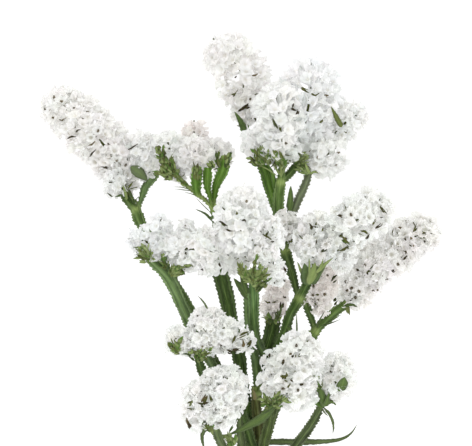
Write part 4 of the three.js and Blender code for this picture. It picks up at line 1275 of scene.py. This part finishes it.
def add_axis(body, lobe):
    """The thin green axis that the cups stand on."""
    b = np.linspace(0, TAU, AXIS_SIDES, endpoint=False)
    width = np.linspace(AXIS_FOOT, AXIS_TIP, len(lobe.centre))[::AXIS_STRIDE, None]
    outline = np.stack([width * np.cos(b), width * np.sin(b)], -1)
    route = [line[::AXIS_STRIDE] for line in (lobe.centre, lobe.side, lobe.normal)]
    points, faces = loft(*route, outline)
    body.add(points, faces, BRACT, GREENS["olive"] * 0.65, (0.3, 0.5, 0.5))


def grow_spike(name, tone, lobes, rng):
    """A whole spike: the bracts that were read in the view, its cups in layers, its foot and its axes."""
    scale = CUP_SIZES.get(name, 1.0)
    withered_share = WITHERED_SHARES.get(name, WITHERED_SHARE)
    soft = name.startswith(SOFT_SPIKES)
    cups, bract_share = (SOFT_CUPS, SOFT_BRACT_SHARE) if soft else (CUPS, BRACT_SHARE)
    most_throat_shade = EYED_THROAT_SHADE if name.startswith(EYED_SPIKES) else SOFT_THROAT_SHADE if soft else PLAIN_THROAT_SHADE
    body = Body()
    marks = add_marks(body, lobes, MARKS.get(name, ()), rng)
    layers = [(1.0, CUP_SPACING, cups, True)]
    if max(lobe.radius.max() for lobe in lobes) > INNER_FROM:
        layers.append((INNER_SHARE, INNER_SPACING, PLAIN_CUPS, False))
    for share, spacing, stock, outer in layers:
        point, normal, tangent, centre = spread_over(lobes, rng, share)
        for k in scattered(point, spacing * scale, rng):
            below = normal[k, 2] < UNDERSIDE and rng.uniform() < UNDERSIDE_GAPS
            if outer and (below or np.linalg.norm(marks - point[k], axis=1).min() < MARK_GAP):
                continue
            facing = unit(normal[k] + LEAN_TO_TIP * tangent[k] + rng.normal(0, LEAN_SPREAD, 3))
            size = rng.uniform(*CUP_SCALES) * scale
            base = point[k] - normal[k] * CUP_INSET - facing * (CUP_REACH * size + rng.uniform(*CUP_STAGGER))
            turn = basis(facing, rng.uniform(0, TAU), tangent[k])
            paper = np.array(TONES[tone]) * (1 - TINT_FADE * rng.uniform() ** 2)
            tint = np.clip(paper + rng.normal(0, TINT_SPREAD, 3), 0, LIGHTEST)
            chance = rng.uniform()
            # How much painted shade, brown at the eye, this cup's throat gets.
            depth = most_throat_shade * rng.uniform() ** 2
            add_cup(body, stock[int(rng.integers(len(stock)))], base, turn, size, tint, depth)
            if outer and chance < withered_share:
                points, faces = WITHERED[int(rng.integers(len(WITHERED)))]
                colour = toward(GREENS["bark"], GREENS["tan"], rng.uniform())
                body.add(base + size * points @ turn.T, faces, THROAT_SLOT, colour, (0, 0, chance))
            if outer and rng.uniform() < bract_share:
                colour = GREENS["olive"] * rng.uniform(*CUP_BRACT_LIGHT)
                lean = unit(facing + rng.normal(0, CUP_BRACT_SPREAD, 3))
                brown = rng.uniform(*CUP_BRACT_BROWN)
                add_scale(body, base, lean, point[k] - centre[k], colour, brown, 1.0, rng)
    add_base_bracts(body, lobes[0], rng)
    for lobe in lobes:
        add_axis(body, lobe)
    return body


# ---------------------------------------------------------------- stems and leaves


def wing_line(along, wide, rng):
    """The outline of one wing: forward-pointing teeth on a gently waving edge, and the wave's height."""
    gaps = rng.uniform(*TOOTH_LENGTHS, int(along[-1] / TOOTH_LENGTHS[0]) + 2)
    starts = np.concatenate([[0], np.cumsum(gaps)])
    which = np.searchsorted(starts, along, side="right") - 1
    rise = ((along - starts[which]) / gaps[which]) ** TOOTH_POWER
    depth = rng.uniform(*TOOTH_DEPTHS, len(gaps))[which]
    phase = rng.uniform(0, TAU)
    slow = EDGE_WAVE * np.sin(along / EDGE_LENGTH + phase)
    edge = wide * (1 + slow) + depth * (rise - TOOTH_MIDDLE)
    wave = RUFFLE_DEPTH * np.sin(TAU * along / RUFFLE_LENGTH + phase)
    wave = wave + FINE_RUFFLE_DEPTH * np.sin(TAU * along / FINE_RUFFLE_LENGTH + 3 * phase)
    return edge, wave * np.clip(wide / FULL_RUFFLE, 0, 1)


def add_stem(body, tint, dark, twists, route, rng):
    """A round stem with a ridge above, a keel below and a toothed wing on each side. Returns its foot."""
    along, path = smooth_route(route, STEM_STEP)
    path, wide = path[:, :3], path[:, 3]
    t = along / along[-1]
    weave = WEAVE * np.sin(along / WEAVE_LENGTH + rng.uniform(0, TAU))
    turn = np.radians(toward(*twists, t) + weave)
    tangent, side, normal = frames(path, turn)
    near = np.exp(-(np.linalg.norm(path[:, None] - NODES[None], axis=2) / NODE_REACH) ** 2).max(1)
    core = np.minimum(CORE_RADIUS, CORE_SHARE * wide) * (1 + NODE_SWELL * near)
    left, left_wave = wing_line(along, wide, rng)
    right, right_wave = wing_line(along, wide, rng)
    left, right = np.maximum(left, core * LEAST_WING), np.maximum(right, core * LEAST_WING)
    sway = np.sin(along / RIDGE_LENGTH + rng.uniform(0, TAU))
    ridge = RIDGE_HEIGHT * (RIDGE_STAY + RIDGE_SWAY * sway)

    section, shades, outs, ribs = [], [], [], []

    def add(across, height, shade, out=0, rib=0):
        section.append(np.stack([across, height], 1))
        shades.append(shade)
        outs.append(out)
        ribs.append(rib)

    def add_wing(sign, edge_line, wave, up, rows):
        for out, thick, shade in rows:
            across = sign * toward(core * WING_ROOT, edge_line, out)
            add(across, wave * out ** 1.5 + up * thick, shade, out)

    add_wing(1, right, right_wave, 1, WING_ROWS)
    for across, height, shade in CORE_ROWS:
        add(across * core, height * core, shade)
    add(0 * core, core + ridge, 1, rib=1)
    for across, height, shade in CORE_ROWS[::-1]:
        add(-across * core, height * core, shade)
    add_wing(-1, left, left_wave, 1, WING_ROWS[::-1])
    add_wing(-1, left, left_wave, -1, WING_ROWS[2::2])
    for across, height in KEEL_ROWS:
        add(across * core, height * core, KEEL_SHADE)
    add_wing(1, right, right_wave, -1, WING_ROWS[4:0:-2])
    outline = np.stack(section, 1)
    points, faces = loft(path, side, normal, outline)
    steps, around = outline.shape[:2]
    shade, edge, rib = (np.tile(np.array(values, float), steps)[:, None] for values in (shades, outs, ribs))
    pale = np.repeat(near, around)[:, None]
    sway = LIGHT_SWAY * np.sin(along / LIGHT_LENGTH + rng.uniform(0, TAU))
    drift = np.repeat(toward(FOOT_SHADE, TIP_SHADE, t) + sway, around)[:, None]
    across = outline[..., 0].reshape(-1, 1)
    # One wing is painted darker by the stem's dark value: painted shade.
    shadow = 1 - abs(dark) * np.clip(across * (1 if dark > 0 else -1) / SHADOW_REACH, 0, 1)
    if isinstance(tint, str):
        colour = GREENS[tint]
    else:
        foot, tip, lateness = tint
        colour = toward(GREENS[foot], GREENS[tip], np.repeat(t ** lateness, around)[:, None])
    # shade paints the grooves darker and the core's top lighter, and shadow paints one wing darker: painted
    # light.
    colour = colour * drift * shade * shadow
    colour = toward(colour, WING_EDGE, WING_EDGE_SHARE * (edge == 1))
    colour = toward(colour, MIDRIB, MIDRIB_SHARE * rib)
    colour = toward(colour, NODE_PALE, NODE_SHARE * pale * (1 - 0.7 * edge))
    grain = np.stack([across[:, 0], np.repeat(along, around), edge[:, 0]], 1)
    body.add(points, faces, STEM, colour, grain)
    return path[0], tangent[0]


def add_sheath(body, at, tangent, rng):
    """A few narrow, dry-tipped bracts round the foot of a branch."""
    for _ in range(SHEATH_BRACTS):
        facing = unit(tangent + rng.normal(0, SHEATH_SPREAD, 3))
        steps = np.linspace(0, 1, 6)[:, None]
        bend = unit(np.cross(facing, rng.normal(size=3))) * rng.uniform(*SHEATH_BENDS)
        reach = facing * rng.uniform(*SHEATH_LENGTHS)
        path = at + tangent * SHEATH_START + reach * steps + bend * steps ** 2
        width, turn = rng.uniform(*SHEATH_WIDTHS), rng.uniform(-1, 1)
        points, faces, grain, t = blade(path, width, thickness=0.25, fold=0.35, turn=turn)
        tip = np.clip((t - 0.6) / 0.4, 0, 1)[:, None]
        colour = (GREENS["pale"] + GREENS["mid"]) / 2 * (1 - 0.6 * tip) + GREENS["tan"] * 0.5 * tip
        body.add(points, faces, LEAF, colour, grain)


def add_leaf(body, path, half_width, tint, turn, brown, rng, fullness=FOOT_FULL):
    """A leaf or bract with a pale midrib, pale edges and a brown tip. One with no brown has a blunt foot."""
    blunt = LEAF_BLUNT if brown == 0 and fullness < 1 else 0.0
    thickness = LEAF_THICKNESS * min(1, half_width)
    wave, teeth = LEAF_RIPPLE * min(1, half_width), LEAF_TEETH * min(1, half_width)
    shape = blade(path, half_width, thickness, LEAF_FOLD, turn, wave, teeth, blunt, rng, fullness)
    points, faces, grain, t = shape
    edge = grain[:, 2:]
    colour = GREENS[tint] * (LEAF_LIGHT - LEAF_SHADE * edge)
    colour = toward(colour, MIDRIB, LEAF_MIDRIB_SHARE * (edge < 0.1))
    colour = toward(colour, WING_EDGE, LEAF_EDGE_SHARE * (edge > 0.9))
    tip = np.clip(brown * 2 * (t - BROWN_FROM), 0, 1)[:, None]
    colour = toward(colour, GREENS["bark"] * 1.3, tip)
    body.add(points, faces, LEAF, colour, grain * (half_width, 1, 1))


def in_front(path):
    """Raises a bract's path over cups that are little higher. Cups far above it stay in front of it."""
    lift = np.zeros(len(path))
    for lobe in ALL_LOBES:
        aside = path[:, None, :2] - lobe.centre[None, :, :2]
        gap = np.hypot(aside[..., 0], aside[..., 1])
        top = lobe.centre[:, 2] + np.sqrt(np.clip(lobe.radius ** 2 - gap ** 2, 0, None))
        over = np.where(gap < lobe.radius, top, 0).max(1) + RAISE_GAP - path[:, 2]
        lift = np.maximum(lift, np.where(over < HIDDEN_DEPTH, np.maximum(over, 0), 0))
    reach = min(LIFT_BLEND, len(path) // 2)
    padded = np.pad(lift, reach, mode="edge")
    lift = np.convolve(padded, np.ones(2 * reach + 1) / (2 * reach + 1), mode="valid")
    return path + np.outer(lift, (0, 0, 1))


def add_tuft(body, path, half_width, tint, brown, rng):
    """A ragged cluster of small bracts that fills the outline of one broad bract."""
    along = lengths(path)
    tangent, side, normal = frames(path)
    add_leaf(body, path - normal * 0.4, half_width * 0.8, tint, rng.uniform(-0.3, 0.3), brown, rng)
    for _ in range(int(TUFT_LEAST + TUFT_DENSITY * along[-1] * half_width)):
        t = rng.uniform(0, 0.9)
        k = int(t * (len(path) - 1))
        sway = rng.uniform(-1, 1)
        start = path[k] + sway * half_width * math.sin(math.pi * (0.15 + 0.75 * t)) * side[k]
        swing = TUFT_SPLAY * sway + rng.normal(0, TUFT_SPREAD)
        facing = unit(tangent[k] + swing * side[k] + rng.uniform(*TUFT_RISES) * normal[k])
        steps = np.linspace(0, 1, 5)[:, None]
        bend = side[k] * rng.normal(0, TUFT_SIDE_BEND) + normal[k] * rng.uniform(*TUFT_BENDS)
        reach = facing * rng.uniform(*TUFT_LENGTHS)
        own = start + normal[k] * rng.uniform(*TUFT_STARTS) + reach * steps + bend * steps ** 2
        shades = ["pale", tint, "olive", "pale", "fresh"] + ["bark"] * (brown > 0.5)
        shade = shades[int(rng.integers(len(shades)))]
        width, turn = rng.uniform(*TUFT_WIDTHS), rng.uniform(-0.9, 0.9)
        own_brown = np.clip(brown * (0.2 + t) + rng.uniform(-0.7, 0.2), 0, 1)
        add_leaf(body, own, width, shade, turn, own_brown, rng)


# ---------------------------------------------------------------- the plant

MATERIALS = {
    PETAL: petal_material(),
    THROAT_SLOT: throat_material(),
    BRACT: bract_material(),
    STEM: green_material("winged_stem", 2.2, 0.45, 0.06),
    LEAF: green_material("leaf_blade", 3.0, 0.5, 0.15),
}
SHAPE_RNG = np.random.default_rng(SEED)


def cup_kinds(openness, each, *details):
    """Cups of every given openness, a few of each."""
    return [cup_shape(SHAPE_RNG, value, *details) for value in openness for _ in range(each)]


CUPS = cup_kinds(CRISP_OPENNESS, CRISP_EACH, CUP_SEGMENTS, CUP_RINGS, PLEAT, True)
SOFT_CUPS = cup_kinds(SOFT_OPENNESS, SOFT_EACH, CUP_SEGMENTS, CUP_RINGS, SOFT_PLEAT, False)
PLAIN_CUPS = cup_kinds(PLAIN_OPENNESS, PLAIN_EACH, PLAIN_SEGMENTS, PLAIN_RINGS, SOFT_PLEAT, False)
WITHERED = [withered_shape(SHAPE_RNG) for _ in range(WITHERED_KINDS)]
SCALES = [scale_shape(SHAPE_RNG, SHAPE_RNG.uniform(*SCALE_LENGTHS), SHAPE_RNG.uniform(*SCALE_WIDTHS))
          for _ in range(SCALE_KINDS)]

# The forks and tips of the branches, where stems are thicker and paler.
BRANCHES = list(STEMS.values())[1:]
NODES = np.array([placed(route[end][:3]) for *_, route in BRANCHES for end in (0, -1)])


def draws(first, number):
    """The random numbers of one thing of the plant."""
    return np.random.default_rng((SEED, first + number))


bodies = {}
for number, (name, details) in enumerate(STEMS.items()):
    rng = draws(STEM_SEEDS, number)
    bodies[name] = Body()
    foot, tangent = add_stem(bodies[name], *details, rng)
    if number:
        add_sheath(bodies[name], foot, tangent, rng)
for number, (name, *details) in enumerate(OFFSHOOTS):
    add_stem(bodies[name], *details, draws(OFFSHOOT_SEEDS, number))
for number, (name, (half_width, turn, tint, route)) in enumerate(LEAVES.items()):
    bodies[name] = Body()
    path = smooth_route(route, LEAF_STEP)[1]
    add_leaf(bodies[name], path, half_width, tint, math.radians(turn), 0, draws(LEAF_SEEDS, number))
ALL_LOBES = []
for number, (name, (tone, routes)) in enumerate(SPIKES.items()):
    rng = draws(SPIKE_SEEDS, number)
    lobes = [Envelope(route, rng) for route in routes]
    ALL_LOBES += lobes
    bodies["spike_" + name] = grow_spike(name, tone, lobes, rng)
blades = [(owner, *details) for owner, group in BLADES for details in group]
for number, (owner, half_width, tint, brown, route) in enumerate(blades):
    rng = draws(BLADE_SEEDS, number)
    path = in_front(smooth_route(route, BLADE_STEP)[1])
    if brown >= TUFT_BROWN and half_width >= TUFT_WIDTH:
        add_tuft(bodies[owner], path, half_width, tint, brown, rng)
    else:
        fullness = TIP_FULL if owner in FULL_LEAVED and half_width > FULL_WIDTH else FOOT_FULL
        add_leaf(bodies[owner], path, half_width, tint, rng.uniform(-0.4, 0.4), brown + 0.01, rng, fullness)

for name, body in bodies.items():
    kind = "stem" if name in STEMS else "leaf" if name in LEAVES else "flower"
    body.piece(name + ENDINGS[kind], name, kind, MATERIALS)

# ---------------------------------------------------------------- floor, light and camera

scene = bpy.context.scene
scene.view_settings.view_transform = "Standard"

bpy.ops.mesh.primitive_plane_add(size=FLOOR_SIZE)
floor = bpy.context.object
floor.name = "floor"
shade = Shade("floor_white")
sockets = {"Base Color": FLOOR_GREY, "Roughness": 0.9, "Specular IOR Level": 0}
matt = shade.node("BsdfPrincipled", sockets)
glow = shade.node("Emission", {"Color": WHITE, "Strength": FLOOR_GLOW})
both = shade.node("AddShader", {0: matt.outputs[0], 1: glow.outputs[0]})
shade.node("OutputMaterial", {"Surface": both.outputs[0]})
floor.data.materials.append(shade.material)

world = bpy.data.worlds.new("studio")
scene.world = world
world.use_nodes = True
sky = world.node_tree.nodes["Background"]
sky.inputs["Color"].default_value = WHITE
sky.inputs["Strength"].default_value = SKY_STRENGTH


def area_light(name, place, aim, size, power):
    """A round lamp that shines at a point."""
    data = bpy.data.lights.new(name, "AREA")
    data.shape = "DISK"
    data.size = size
    data.energy = power
    lamp = bpy.data.objects.new(name, data)
    scene.collection.objects.link(lamp)
    lamp.location = place
    lamp.rotation_euler = (Vector(aim) - Vector(place)).to_track_quat("-Z", "Y").to_euler()


area_light("key", KEY_PLACE, LIGHT_AIM, KEY_SIZE, KEY_POWER)
area_light("fill", FILL_PLACE, LIGHT_AIM, FILL_SIZE, FILL_POWER)

camera_data = bpy.data.cameras.new("camera")
camera_data.sensor_width = SENSOR
camera_data.lens = SENSOR * (VIEW_HEIGHT - VIEW_LEVEL) / (PICTURE[0] * PIXEL)
camera = bpy.data.objects.new("camera", camera_data)
scene.collection.objects.link(camera)
camera.location = (VIEW_CENTRE[0] * MM, VIEW_CENTRE[1] * MM, VIEW_HEIGHT * MM)
camera.rotation_euler = (0, 0, 0)
scene.camera = camera
